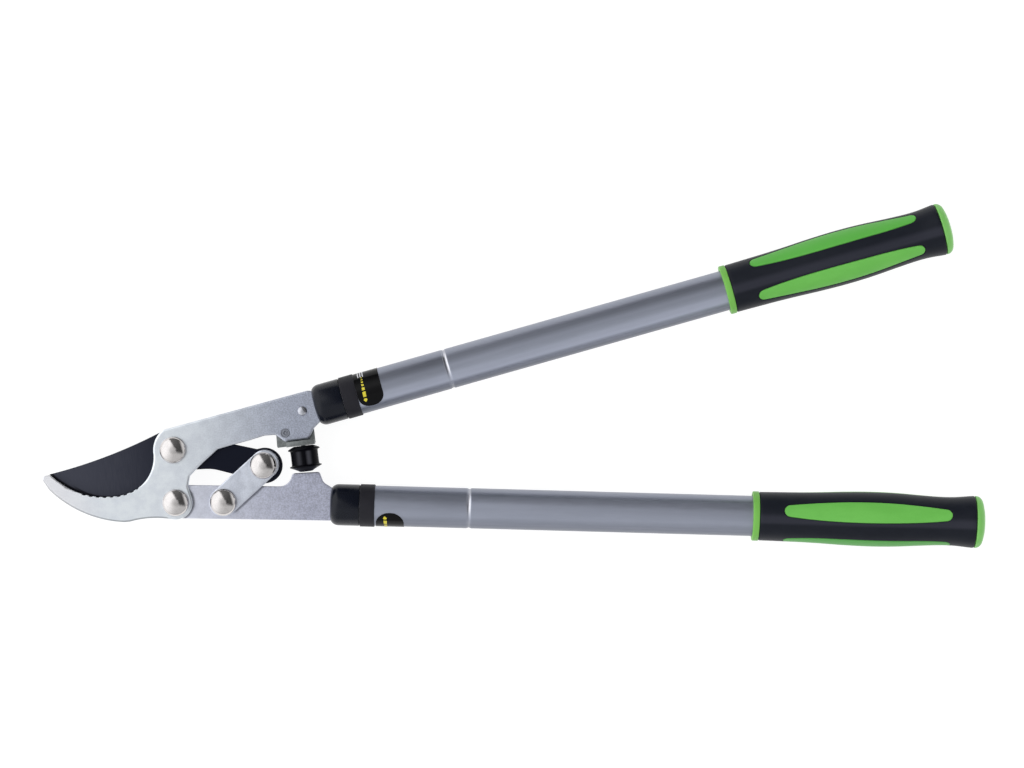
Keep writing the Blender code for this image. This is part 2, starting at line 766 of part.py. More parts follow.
def make_label(side, parent):
    """Thin strip wrapped round the outer tube, with half-round ends."""
    half = LABEL_WIDTH / 2
    end_sweep = math.degrees(half / LABEL_OUTER_RADIUS)
    stations = []
    for k in range(6):
        t = math.radians(90 * (k + 0.6) / 5.6)
        stations.append((end_sweep * (1 - math.cos(t)), half * math.sin(t)))
    middle = [(end_sweep + (LABEL_SWEEP - 2 * end_sweep) * k / 12, half) for k in range(1, 12)]
    mirrored = [(LABEL_SWEEP - turn, width) for turn, width in reversed(stations)]
    bm = bmesh.new()
    rings = []
    for turn, width in stations + middle + mirrored:
        t = math.radians(LABEL_CLOCKING[side] + turn)
        ring = []
        for radius, across in (
            (LABEL_INNER_RADIUS, -width),
            (LABEL_OUTER_RADIUS, -width),
            (LABEL_OUTER_RADIUS, width),
            (LABEL_INNER_RADIUS, width),
        ):
            along = LABEL_START + half + across
            point = Vector((along, radius * math.sin(t), radius * math.cos(t)))
            ring.append(bm.verts.new(point * MM))
        rings.append(ring)
    for first, second in zip(rings, rings[1:]):
        for i in range(4):
            bm.faces.new((first[i - 1], first[i], second[i], second[i - 1]))
    bm.faces.new(rings[0])
    bm.faces.new(rings[-1])
    mesh_object(f"{side}_twist_label", bm, "label_film", parent)


def grip_radius(along):
    """Outer radius of the grip: a belly between a slim neck and a waist, then a flare."""
    rows = [(6.1, 17.5), (34.8, 17.9), (49.2, 18.4), (63.6, 19.15), (78.0, 19.6), (85.2, 19.7)]
    rows += [(96.0, 19.6), (106.8, 19.2), (121.2, 18.2), (135.6, 17.4), (142.8, 17.3)]
    rows += [(150.0, 17.7), (156.0, 18.5), (160.0, 18.9)]
    for (x0, r0), (x1, r1) in zip(rows, rows[1:]):
        if along <= x1:
            return r0 + (r1 - r0) * (along - x0) / (x1 - x0)
    return rows[-1][1]


GRIP_STATIONS = (34.8, 60.0, 85.2, 106.8, 132.0, 144.0, 155.0)


def window_outline(growth):
    """Long window with round ends, widest at the grip's belly; growth moves its edge outwards."""
    end = WINDOW_END_HALF_WIDTH
    start_centre = (WINDOW_START + end, 0)
    end_centre = (WINDOW_END - end, 0)
    belly = ((WINDOW_START + WINDOW_END) / 2, WINDOW_HALF_WIDTH + growth)
    radius = end + growth
    lean = 8
    end_step = 42
    left = arc(start_centre, radius, 90 + lean, 270 - lean, end_step)
    right = arc(end_centre, radius, -90 + lean, 90 - lean, end_step)
    far_side = arc_through(right[-1], belly, left[0], 7)[1:-1]
    near_side = [(x, -y) for x, y in reversed(far_side)]
    return left + near_side + right + far_side


def window_cutters(side, parent, name, growth):
    """Two bars through the grip, a quarter turn apart, that together make its four windows."""
    cutters = []
    for k in range(2):
        turn = GRIP_CLOCKING[side] + 90 * k
        outline = window_outline(growth)
        turns = (-turn, 0, 0)
        bar = prism(f"{side}_{name}_{k}", outline, CUTTER_LENGTH, "soft_rubber", parent, turns)
        bar.location.x = GRIP_START[side] * MM
        cutters.append(as_cutter(bar))
    return cutters


def make_grip(side, parent):
    """Green core tube, whose four raised panels fill the windows of the black sleeve over it."""
    place = (GRIP_START[side], 0, 0)
    surface = [(along, grip_radius(along)) for along in GRIP_STATIONS]
    core_front = [
        (0.0, CORE_BORE_RADIUS),
        (0.0, GRIP_RING_RADIUS - 0.7),
        (0.7, GRIP_RING_RADIUS),
        (GRIP_RING_LENGTH + 1.0, GRIP_RING_RADIUS),
    ]
    core_end = SLEEVE_END + 0.2
    core = core_front + surface
    core += [(core_end, grip_radius(SLEEVE_END)), (core_end, CORE_BORE_RADIUS)]
    core_object = turned(f"{side}_grip_core", core, GRIP_SIDES, "green_plastic", parent, place)
    outside = 24.0
    space = [
        (GRIP_RING_LENGTH, CORE_RADIUS),
        (GRIP_RING_LENGTH, outside),
        (CAP_END, outside),
        (CAP_END, CORE_RADIUS),
    ]
    sleeve_space = turned(f"{side}_sleeve_space", space, GRIP_SIDES, "green_plastic", parent, place)
    for bar in window_cutters(side, parent, "panel_bar", 0.0):
        cut(sleeve_space, bar)
    cut(core_object, as_cutter(sleeve_space))
    bore = CORE_RADIUS + GAP
    sleeve = [(SLEEVE_START, bore), (SLEEVE_START, grip_radius(SLEEVE_START)), *surface]
    sleeve += [(SLEEVE_END, grip_radius(SLEEVE_END)), (SLEEVE_END, bore)]
    sleeve_object = turned(f"{side}_grip_sleeve", sleeve, GRIP_SIDES, "soft_rubber", parent, place)
    for bar in window_cutters(side, parent, "window_bar", GAP):
        cut(sleeve_object, bar)
    plug_start = 152.0
    plug_radius = CORE_BORE_RADIUS - 0.4
    cap = [
        (plug_start, 0.0),
        (plug_start, plug_radius),
        (core_end + GAP, plug_radius),
        (core_end + GAP, 18.7),
        (162.7, 18.6),
        (165.6, 16.6),
        (CAP_END, CAP_FLAT_RADIUS),
        (CAP_END, 0.0),
    ]
    turned(f"{side}_end_cap", cap, GRIP_SIDES, "green_plastic", parent, place)


def make_handle(side, fixed_parent, layer):
    """Fixed tube and telescoping tube of one handle. The twist and slide axes are both its X."""
    turn = HANDLE_ANGLE * TURN_SIGN[side]
    axis = empty(f"{side}_handle_axis", (*COLLAR_FRONT[side], 0), turn, fixed_parent)
    twist = empty(f"{side}_twist_axis", (0, 0, 0), 0, axis)
    make_fixed_collar(side, axis, layer)
    pin_bore = make_tang_insert(side, axis, layer)
    make_inner_tube(side, axis, pin_bore)
    make_lock(side, axis, twist)
    make_outer_tube(side, twist)
    make_tube_collar(side, twist)
    make_label(side, twist)
    make_grip(side, twist)


def main():
    clear_scene()
    tool = empty("tool_frame", ARM_PIVOT_PLACE)
    blade_axis = empty("blade_axis", (*BLADE_PIVOT, 0), parent=tool)
    arm_axis = empty("arm_axis", (*ARM_PIVOT, 0), parent=tool)
    link_axis = empty("link_axis", (*ARM_LINK_PIVOT, 0), parent=arm_axis)
    make_hook_arm(tool)
    make_blade(blade_axis)
    make_lower_arm(arm_axis)
    make_links(link_axis)
    tail = (BLADE_LINK_PIVOT[0] - BLADE_PIVOT[0], BLADE_LINK_PIVOT[1] - BLADE_PIVOT[1], 0)
    plates_front, plates_rear = FRONT_LAYER[1], REAR_LAYER[0]
    links_front, links_rear = FRONT_LINK_LAYER[1], REAR_LINK_LAYER[0]
    make_pivot_set("blade_pivot", tool, (*BLADE_PIVOT, 0), plates_front, plates_rear)
    make_pivot_set("arm_pivot", tool, (*ARM_PIVOT, 0), plates_front, plates_rear)
    make_pivot_set("blade_link", blade_axis, tail, links_front, links_rear)
    make_pivot_set("arm_link", arm_axis, (*ARM_LINK_PIVOT, 0), links_front, links_rear)
    make_bracket(tool)
    make_bracket_rivets(tool)
    make_bumper(tool)
    make_handle("upper", tool, FRONT_LAYER)
    make_handle("lower", arm_axis, REAR_LAYER)


main()
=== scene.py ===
# %% [markdown]
# # A telescopic lopper, dressed over its CAD frame
#
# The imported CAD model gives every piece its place, its joints and its plain form. This script
# keeps that frame and lays a finished surface over each visible piece: plates with rolled edges,
# polished domes, satin tubes, and grips whose green panels fill windows in a black sleeve.
# Every shape is worked out with numpy from the tool's own measures, in millimetres.

# %% Load the frame
import json
import math

import bmesh
import bpy
import numpy as np
from mathutils import Matrix, Vector
from mathutils.geometry import tessellate_polygon


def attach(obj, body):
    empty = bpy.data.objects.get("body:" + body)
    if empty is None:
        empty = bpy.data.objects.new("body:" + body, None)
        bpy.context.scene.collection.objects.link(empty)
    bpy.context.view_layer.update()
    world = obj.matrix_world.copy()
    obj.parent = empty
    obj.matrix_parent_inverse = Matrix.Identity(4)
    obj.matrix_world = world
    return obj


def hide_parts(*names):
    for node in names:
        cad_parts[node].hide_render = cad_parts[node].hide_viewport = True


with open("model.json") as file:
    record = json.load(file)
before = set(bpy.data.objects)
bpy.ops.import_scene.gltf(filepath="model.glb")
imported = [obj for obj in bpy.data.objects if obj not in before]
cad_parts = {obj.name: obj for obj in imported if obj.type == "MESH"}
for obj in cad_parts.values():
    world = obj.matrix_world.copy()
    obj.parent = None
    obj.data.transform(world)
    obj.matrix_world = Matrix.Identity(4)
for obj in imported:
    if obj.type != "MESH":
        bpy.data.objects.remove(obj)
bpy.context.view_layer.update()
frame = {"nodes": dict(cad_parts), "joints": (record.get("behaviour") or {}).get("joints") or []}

MM = 0.001

# %% [markdown]
# The joints say where the tool's own frames lie, so no place is typed twice. The plates' frame
# has its origin at the arm pivot. Each handle has a frame whose X runs along the tube, with its
# origin at the front of the fixed collar: turns about X count from straight up towards +Y.

# %% Frames of the tool and of its two handles
joints = {joint["name"]: joint for joint in frame["joints"]}
tool_origin = Vector(joints["arm_hinge"]["pos_m"])
tool_frame = Matrix.Translation(tool_origin)


def handle_frame(side):
    """Columns are the tube's direction, the direction across it towards +Y, and up."""
    along = Vector(joints[side + "_slide"]["axis"]).normalized()
    up = Vector((0, 0, 1))
    turn = Matrix((along, up.cross(along), up)).transposed().to_4x4()
    return Matrix.Translation(Vector(joints[side + "_twist"]["pos_m"])) @ turn


handle_frames = {side: handle_frame(side) for side in ("upper", "lower")}
print("arm pivot at", [round(v / MM, 1) for v in tool_origin], "mm")

# %% [markdown]
# A piece on the real tool is either flat, stamped from sheet, or round, turned or drawn as a
# tube. Both kinds start as a grid of points: rows times columns, joined by four-cornered faces.
# Blender could spin or extrude each outline too, but a grid worked out as one array is quick, and
# a formula can still shape every point of it. Merging the points that coincide closes seams and
# poles, and then the faces are turned outwards.

# %% Grids and closed meshes
def grid_faces(rows, columns, wrap_rows=False, wrap_columns=False, first=0):
    """Faces of a grid: each joins a point, the next in its column and their right neighbours."""
    row = np.arange(rows if wrap_rows else rows - 1)[:, None]
    column = np.arange(columns if wrap_columns else columns - 1)[None, :]
    next_row, next_column = (row + 1) % rows, (column + 1) % columns
    corners = [(row, column), (row, next_column), (next_row, next_column), (next_row, column)]
    faces = [first + (r * columns + c) for r, c in corners]
    return np.stack([np.broadcast_to(f, faces[0].shape) for f in faces], -1).reshape(-1, 4)


def joined(surfaces):
    """Several (points, faces) surfaces as one, with the later ones' faces counted on."""
    points, faces, count = [], [], 0
    for some_points, some_faces in surfaces:
        flat = np.asarray(some_points, float).reshape(-1, 3)
        points.append(flat)
        faces += (np.asarray(some_faces) + count).tolist()
        count += len(flat)
    return np.concatenate(points), faces


def closed_mesh(name, points_mm, faces, attributes=()):
    """A mesh from points in millimetres, its doubles merged and its faces turned outwards."""
    mesh = bpy.data.meshes.new(name)
    faces = faces.tolist() if isinstance(faces, np.ndarray) else faces
    mesh.from_pydata((np.reshape(points_mm, (-1, 3)) * MM).tolist(), [], faces)
    for key, values in dict(attributes).items():
        layer = mesh.attributes.new(key, "FLOAT", "POINT")
        layer.data.foreach_set("value", np.asarray(values, np.float32))
    bm = bmesh.new()
    bm.from_mesh(mesh)
    bmesh.ops.remove_doubles(bm, verts=bm.verts, dist=2e-6)
    bmesh.ops.recalc_face_normals(bm, faces=bm.faces)
    bm.to_mesh(mesh)
    bm.free()
    return mesh


print("a belt of 3 by 4 points has", len(grid_faces(3, 4, False, True)), "faces")

# %% [markdown]
# A mesh becomes a piece of the tool here. It keeps each point's place in the piece's own frame,
# which a finish reads where its pattern has to follow the piece. Then it goes to its place in the
# shared frame, rides on a CAD body, and stands for the CAD node that it replaces.

# %% Pieces on their bodies
def own_places(mesh, place_frame):
    """Keeps each point's place in the piece's own frame, for its finish, then sets it in place."""
    places = np.empty(3 * len(mesh.vertices), np.float32)
    mesh.vertices.foreach_get("co", places)
    layer = mesh.attributes.new("own_place", "FLOAT_VECTOR", "POINT")
    layer.data.foreach_set("vector", places)
    mesh.transform(place_frame)


def add_piece(name, mesh, place_frame, finish, body, nodes=(), sharp=35):
    """A finished piece: smooth but for edges sharper than the angle, riding on its body."""
    own_places(mesh, place_frame)
    mesh.shade_smooth()
    mesh.set_sharp_from_angle(angle=math.radians(sharp))
    mesh.materials.append(finish)
    piece = bpy.data.objects.new(name, mesh)
    bpy.context.scene.collection.objects.link(piece)
    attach(piece, body)
    if nodes:
        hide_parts(*nodes)
    print(f"{name}: {len(mesh.polygons)} faces on body {body}")
    return piece


print("CAD nodes to dress:", len(frame["nodes"]))

# %% [markdown]
# A finish is made of shader nodes. In the editor each one is placed and linked by hand; in code a
# few helpers do that, so that a finish reads like a formula of shares, ranges and mixes.

# %% Node helpers
def add_node(tree, kind, values=None, **settings):
    """A shader node; each value is a number, a colour or another node's output."""
    made = tree.nodes.new("ShaderNode" + kind)
    for key, setting in settings.items():
        setattr(made, key, setting)
    for key, value in (values or {}).items():
        if isinstance(value, bpy.types.NodeSocket):
            tree.links.new(value, made.inputs[key])
        else:
            made.inputs[key].default_value = value
    return made


def times(tree, share, *others):
    """The product of several shares."""
    for other in others:
        share = add_node(tree, "Math", {0: share, 1: other}, operation="MULTIPLY").outputs[0]
    return share


def either(tree, first, second):
    """The larger of two shares."""
    return add_node(tree, "Math", {0: first, 1: second}, operation="MAXIMUM").outputs[0]


def opaque(colour):
    """A colour with its alpha of one; another node's output stays as it is."""
    return colour if isinstance(colour, bpy.types.NodeSocket) else (*colour, 1.0)


def mixed(tree, share, first, second):
    """Colour from the first to the second, by the share."""
    values = {0: share, 6: opaque(first), 7: opaque(second)}
    return add_node(tree, "Mix", values, data_type="RGBA").outputs[2]


def ranged(tree, value, low, high, to_low=0.0, to_high=1.0):
    """A value's range stretched smoothly onto another."""
    values = {0: value, 1: low, 2: high, 3: to_low, 4: to_high}
    return add_node(tree, "MapRange", values, interpolation_type="SMOOTHSTEP").outputs[0]


def line_mask(tree, value, rise, fall):
    """One between two ramps of a value, both given in millimetres, and zero outside them."""
    return times(tree, *[ranged(tree, value, *[v * MM for v in ramp]) for ramp in (rise, fall)])


print("a colour that the helpers make opaque:", opaque((0.5, 0.5, 0.5)))

# %% Places and vectors in a finish
def vector_math(tree, operation, first, second=None):
    """A vector, or the number that a length, a distance or a dot product is."""
    values = {0: first}
    if second is not None:
        values["Scale" if operation == "SCALE" else 1] = second
    outputs = add_node(tree, "VectorMath", values, operation=operation).outputs
    return outputs["Value" if operation in ("LENGTH", "DISTANCE", "DOT_PRODUCT") else "Vector"]


def coordinate(tree, place, axis):
    """A place's X, Y or Z."""
    return add_node(tree, "SeparateXYZ", {0: place}).outputs[axis]


def object_place(tree):
    """A point's place in the frame that the whole tool shares."""
    return add_node(tree, "TexCoord").outputs["Object"]


def own_place(tree):
    """A point's place in its piece's own frame, kept by the mesh."""
    return add_node(tree, "Attribute", attribute_name="own_place").outputs["Vector"]


def tool_x(x_mm):
    """The shared frame's x, in metres, of a place in the plates' frame."""
    return tool_origin.x + x_mm * MM


print("the arm pivot is at x =", round(tool_x(0), 4), "m")

# %% [markdown]
# Three effects are shared by several finishes, so each is a node group, built once: a grain that
# can be round or drawn out, a cloudy mottle in two tones, and a painted highlight on the edges
# where the press rolled the sheet over. Pictures could show them, but noise in three dimensions
# has no seams, and it is as fine close up as from afar.

# %% Groups: grain, mottle and painted edge light
def new_group(name, inputs, outputs):
    """An empty node group, with the sockets that its two ends offer inside it."""
    tree = bpy.data.node_groups.new(name, "ShaderNodeTree")
    for label, kind in inputs:
        tree.interface.new_socket(label, in_out="INPUT", socket_type="NodeSocket" + kind)
    for label, kind in outputs:
        tree.interface.new_socket(label, in_out="OUTPUT", socket_type="NodeSocket" + kind)
    given = tree.nodes.new("NodeGroupInput").outputs
    wanted = tree.nodes.new("NodeGroupOutput").inputs
    return tree, given, wanted


def use_group(tree, group, values):
    """Places a group in a material or in another group, and gives its outputs."""
    return add_node(tree, "Group", values, node_tree=group).outputs


grain_group, given, wanted = new_group(
    "surface_grain",
    [("Place", "Vector"), ("Cell in mm", "Vector"), ("Detail", "Float")],
    [("Grain", "Float")],
)
NOISE_LOW, NOISE_HIGH = 0.3, 0.7
in_mm = vector_math(grain_group, "SCALE", given["Place"], 1 / MM)
in_cells = vector_math(grain_group, "DIVIDE", in_mm, given["Cell in mm"])
noise_values = {"Vector": in_cells, "Scale": 1.0, "Detail": given["Detail"]}
noise = add_node(grain_group, "TexNoise", noise_values).outputs[0]
grain_group.links.new(ranged(grain_group, noise, NOISE_LOW, NOISE_HIGH), wanted["Grain"])


def grain_at(tree, place, cell_mm, detail):
    """The grain's value at a place, for cells of this size along X, Y and Z."""
    values = {"Place": place, "Cell in mm": cell_mm, "Detail": detail}
    return use_group(tree, grain_group, values)["Grain"]


mottle_group, given, wanted = new_group(
    "cloudy_mottle",
    [
        ("Place", "Vector"), ("Cloud in mm", "Vector"), ("Speck in mm", "Vector"),
        ("Speck Share", "Float"), ("Dark", "Color"), ("Light", "Color"),
    ],
    [("Colour", "Color"), ("Mask", "Float")],
)
cloud = grain_at(mottle_group, given["Place"], given["Cloud in mm"], 3.0)
speck = grain_at(mottle_group, given["Place"], given["Speck in mm"], 2.0)
cloud_values = {0: given["Speck Share"], 2: cloud, 3: speck}
mottle = add_node(mottle_group, "Mix", cloud_values, data_type="FLOAT").outputs[0]
mottled = mixed(mottle_group, mottle, given["Dark"], given["Light"])
mottle_group.links.new(mottle, wanted["Mask"])
mottle_group.links.new(mottled, wanted["Colour"])

edge_light_group, given, wanted = new_group(
    "painted_edge_light",
    [("Colour", "Color"), ("Bright", "Color"), ("Edge", "Float"), ("Break-up", "Float")],
    [("Colour", "Color")],
)
broken = times(edge_light_group, given["Edge"], given["Break-up"])
brightened = mixed(edge_light_group, broken, given["Colour"], given["Bright"])
edge_light_group.links.new(brightened, wanted["Colour"])
print("groups:", [group.name for group in bpy.data.node_groups])

# %% [markdown]
# The plates are zinc plated: a bluish light grey with clouds a few millimetres across and fine
# specks, and towards the handles more specks and fine scratches. The tone is painted light: nearly
# white at the jaw's tip and darker towards the handles, a smooth range along the tool, and the
# mottle lays its clouds between a darker and a lighter share of that tone. The plates' edges carry
# painted light too: a painted highlight on the roll of the press, painted shade under the jaw.

# %% Zinc plate
TIP_X, EYE_START_X, EYE_END_X, COLLAR_X = -88.0, -45.0, -15.0, 100.0
SPECKS_START_X = -10.0
DARK_SHARES, LIGHT_SHARES, SCRATCH_SHARES = (0.95, 0.92, 0.76), (1.04, 1.07, 1.21), (0.6, 0.6, 0.6)


def new_finish(name, **constants):
    """A material, its node tree and its shader, with the shader's constant values set."""
    material = bpy.data.materials.new(name)
    material.use_nodes = True
    tree = material.node_tree
    shader = tree.nodes["Principled BSDF"]
    for key, value in constants.items():
        shader.inputs[key.replace("_", " ")].default_value = value
    return material, tree, shader


def bumped(tree, shader, height, distance_mm, strength=1.0):
    """Feeds the shader's normal from a height."""
    values = {"Strength": strength, "Distance": distance_mm * MM, "Height": height}
    tree.links.new(add_node(tree, "Bump", values).outputs[0], shader.inputs["Normal"])


def painted_falloff_tone(tree, place, tones, shares):
    """Painted fall of light: a colour that turns along X from the tip's tone to the eye's and then the
    collar's, each of them times its share."""
    along = coordinate(tree, place, "X")
    tip, eye, collar = [
        tuple(min(1.0, share * v) for v in tone) for tone, share in zip(tones, shares)
    ]
    to_eye = ranged(tree, along, tool_x(TIP_X), tool_x(EYE_START_X))
    to_collar = ranged(tree, along, tool_x(EYE_END_X), tool_x(COLLAR_X))
    return mixed(tree, to_collar, mixed(tree, to_eye, tip, eye), collar)


def zinc_finish(name, tones, speck_shares, rough, edge_shine):
    """Clouds and fine specks between two shares of a tone that darkens from the tip to the collars as
    painted light, scratches across the tool, and a painted highlight or painted shade on rolled edges."""
    material, tree, shader = new_finish(name, Metallic=0.9)
    place = object_place(tree)
    along = coordinate(tree, place, "X")
    specks = ranged(tree, along, tool_x(SPECKS_START_X), tool_x(COLLAR_X), *speck_shares)
    mottle = use_group(tree, mottle_group, {
        "Place": place,
        "Cloud in mm": (7, 7, 7),
        "Speck in mm": (0.95, 0.95, 0.95),
        "Speck Share": specks,
        "Dark": painted_falloff_tone(tree, place, tones, DARK_SHARES),
        "Light": painted_falloff_tone(tree, place, tones, LIGHT_SHARES),
    })
    scratches = ranged(tree, grain_at(tree, place, (0.35, 7, 3), 3.0), 0.82, 1.0)
    near_collar = ranged(tree, along, tool_x(SPECKS_START_X), tool_x(COLLAR_X), 0.05, 0.3)
    scratch_tone = painted_falloff_tone(tree, place, tones, SCRATCH_SHARES)
    edge = add_node(tree, "Attribute", attribute_name="edge").outputs["Fac"]
    # The rolled edges get a painted highlight of the Bright colour, by the edge attribute.
    shine = use_group(tree, edge_light_group, {
        "Colour": mixed(tree, times(tree, scratches, near_collar), mottle["Colour"], scratch_tone),
        "Bright": (0.88, 0.89, 0.91, 1),
        "Edge": times(tree, edge, edge_shine),
        "Break-up": ranged(tree, grain_at(tree, place, (3, 0.5, 3), 2.0), 0.0, 1.0, 0.5, 0.9),
    })
    # Painted shade: where the edge attribute is negative, the colour is darkened.
    painted_edge_shade = ranged(tree, edge, 0.0, -1.0, 1.0, 0.5)
    plated = vector_math(tree, "SCALE", shine["Colour"], painted_edge_shade)
    roughness = ranged(tree, mottle["Mask"], 0.0, 1.0, rough + 0.06, rough - 0.05)
    tree.links.new(plated, shader.inputs["Base Color"])
    tree.links.new(roughness, shader.inputs["Roughness"])
    bumped(tree, shader, mottle["Mask"], 0.012, 0.6)
    return material


print("tones turn from x =", round(tool_x(TIP_X), 3), "to", round(tool_x(COLLAR_X), 3), "m")

# %% Six zinc finishes
TIP_TONE, EYE_TONE, COLLAR_TONE = (0.93, 0.93, 0.97), (0.855, 0.90, 0.965), (0.445, 0.475, 0.57)
REAR_TONES = [EYE_TONE, (0.785, 0.805, 0.90), (0.51, 0.525, 0.64)]
# For each: tones (painted light) at tip, eye and collar, specks' share there, roughness, edge highlight.
ZINC = {
    "front": ([TIP_TONE, EYE_TONE, COLLAR_TONE], (0.25, 0.85), 0.34, 0.25),
    "rear": (REAR_TONES, (0.3, 0.75), 0.40, 0.2),
    "link": ([(0.71, 0.745, 0.84)] * 3, (0.3, 0.3), 0.36, 0.25),
    "shaded": ([(0.235, 0.25, 0.25)] * 3, (0.4, 0.5), 0.45, 0.3),
    "rivet": ([(0.50, 0.51, 0.56)] * 3, (0.5, 0.5), 0.25, 0.3),
    "dull": ([(0.30, 0.315, 0.36)] * 3, (0.5, 0.5), 0.42, 0.2),
}
zinc = {name: zinc_finish("zinc_" + name, *values) for name, values in ZINC.items()}
print("zinc finishes:", list(zinc))

# %% [markdown]
# The flat pieces are stamped from sheet, so each begins as an outline. It could be traced as a
# curve by hand. Here it is a list of corners, some with a radius, and of arcs through three
# points, because those are a drawing's own measures, and they give as many points as they need.

# %% Arcs and holes
ARC_STEP = 6.0


def arc(centre, radius, start, end, step=ARC_STEP):
    """Points on a circle from one angle to another, in degrees, both ends included."""
    turns = np.radians(np.linspace(start, end, max(2, math.ceil(abs(end - start) / step)) + 1))
    return [tuple(p) for p in np.stack([np.cos(turns), np.sin(turns)], 1) * radius + centre]


def hole(centre, radius, sides=48):
    """A circle that runs clockwise, so that the material lies on its left."""
    return arc(centre, radius, 360, 0, 360 / sides)[:-1]


def arc_through(first, middle, last, steps):
    """Points of the circle through three points: its centre is as far from all of them."""
    a, b, c = Vector(first), Vector(middle), Vector(last)
    ab, ac = b - a, c - a
    cross = 2 * (ab.x * ac.y - ab.y * ac.x)
    to_centre = Vector((
        (ac.y * ab.length_squared - ab.y * ac.length_squared) / cross,
        (ab.x * ac.length_squared - ac.x * ab.length_squared) / cross,
    ))
    centre = a + to_centre
    start = math.atan2(*(a - centre).yx)
    sweep = math.atan2(*(c - centre).yx) - start
    sweep = sweep % math.tau if cross > 0 else sweep % math.tau - math.tau
    turns = start + sweep * np.linspace(0, 1, steps + 1)
    points = np.stack([np.cos(turns), np.sin(turns)], 1) * to_centre.length + np.array(centre)
    return [tuple(p) for p in points]


print("a bolt's hole has", len(hole((0.0, 0.0), 4.15)), "points")

# %% Rounded outlines
def rounded(corners):
    """A closed outline: a corner (x, y) stays sharp, and (x, y, radius) becomes an arc."""
    points = []
    for i, corner in enumerate(corners):
        here = Vector(corner[:2])
        if len(corner) == 2:
            points.append(tuple(here))
            continue
        back = (Vector(corners[i - 1][:2]) - here).normalized()
        ahead = (Vector(corners[(i + 1) % len(corners)][:2]) - here).normalized()
        half = back.angle(ahead) / 2
        centre = here + (back + ahead).normalized() * corner[2] / math.sin(half)
        reach = corner[2] / math.tan(half)
        start = here + back * reach - centre
        sweep = math.degrees(start.angle_signed(here + ahead * reach - centre))
        first = math.degrees(math.atan2(start.y, start.x))
        points += arc(tuple(centre), corner[2], first, first - sweep)
    return points


def on_handle(side, along, across):
    """A point of the plates' frame, given along and across a handle."""
    place = handle_frames[side] @ Vector((along * MM, across * MM, 0)) - tool_origin
    return (place.x / MM, place.y / MM)


print("the upper collar's front is at", [round(v, 1) for v in on_handle("upper", 0, 0)], "mm")

# %% [markdown]
# A press rolls the sheet's front edge over and leaves its rear edge nearly sharp. A Bevel modifier
# rounds an edge evenly, but this roll is wider than it is deep and changes along the edge. So a
# plate is its outline, repeated at several heights: a ring on the flat face, then a quarter
# round, the wall and a small quarter round at the rear. The two faces are filled by Blender's own
# polygon tessellation, which copes with holes.

# %% Rings of a rolled edge
FLAT_MARGIN = 0.06
ROLL_SHARE = 0.6
# REAR_SHINE is the painted highlight on the rear roll's rings.
REAR_SHINE = 0.4


def inset(loop, distance):
    """The loop moved into the material, on its left: each point goes along the sum of its two
    edges' normals, by twice the distance over the sum's square, so both edges move evenly."""
    loop = np.asarray(loop, float)
    distance = np.broadcast_to(distance, len(loop))[:, None]
    ahead = np.roll(loop, -1, axis=0) - loop
    ahead /= np.linalg.norm(ahead, axis=1, keepdims=True)
    normal = np.stack([-ahead[:, 1], ahead[:, 0]], 1)
    both = normal + np.roll(normal, 1, axis=0)
    square = np.maximum((both**2).sum(1, keepdims=True), 1.0)
    return loop + 2 * distance * both / square


def edge_rings(thickness, front_roll, rear_roll):
    """(inset, depth, brightness) of each ring: at angle t of a quarter round the inset is the
    roll times (1 - sin t), and the depth below its face is the roll times (1 - cos t). At the
    front the roll is wider than it is deep, and one number or one for each point."""
    front, rear = np.radians(np.linspace(0, 90, 7)), np.radians(np.linspace(90, 0, 4))
    rings = [(front_roll + FLAT_MARGIN, 0.0, 0.0)]
    rings += [
        (front_roll * (1 - math.sin(t)), ROLL_SHARE * front_roll * (1 - math.cos(t)), math.sin(2 * t))
        for t in front
    ]
    rings += [
        (rear_roll * (1 - math.sin(t)), thickness - rear_roll * (1 - math.cos(t)), REAR_SHINE)
        for t in rear
    ]
    return rings + [(rear_roll + FLAT_MARGIN, thickness, 0.0)]


print("a plate's edge has", len(edge_rings(4.0, 1.5, 0.2)), "rings")

# %% Plates
def stacked_mesh(name, loops_of_rings, brightness):
    """One closed mesh from loops, each a stack of rings from the front face to the rear face,
    and for each loop the brightness of its rings."""
    points, faces, edge, fronts, rears, count = [], [], [], [], [], 0
    for rings in loops_of_rings:
        rings = np.asarray(rings)
        levels, sides = rings.shape[:2]
        faces += grid_faces(levels, sides, False, True, count).tolist()
        fronts.append(np.arange(sides) + count)
        rears.append(np.arange(sides) + count + (levels - 1) * sides)
        edge.append(np.broadcast_to(brightness[len(edge)], (levels, sides)).ravel())
        points.append(rings.reshape(-1, 3))
        count += levels * sides
    points = np.concatenate(points)
    for ends in (fronts, rears):
        index = np.concatenate(ends)
        flat = [[Vector((*points[k, :2], 0)) for k in loop] for loop in ends]
        faces += [[int(index[k]) for k in face] for face in tessellate_polygon(flat)]
    return closed_mesh(name, points, faces, {"edge": np.concatenate(edge)})


def signed_area(loop):
    """Half the sum, over the sides, of x times the next y less y times the next x."""
    x, y = np.asarray(loop).T
    return 0.5 * float(np.sum(x * np.roll(y, -1) - y * np.roll(x, -1)))


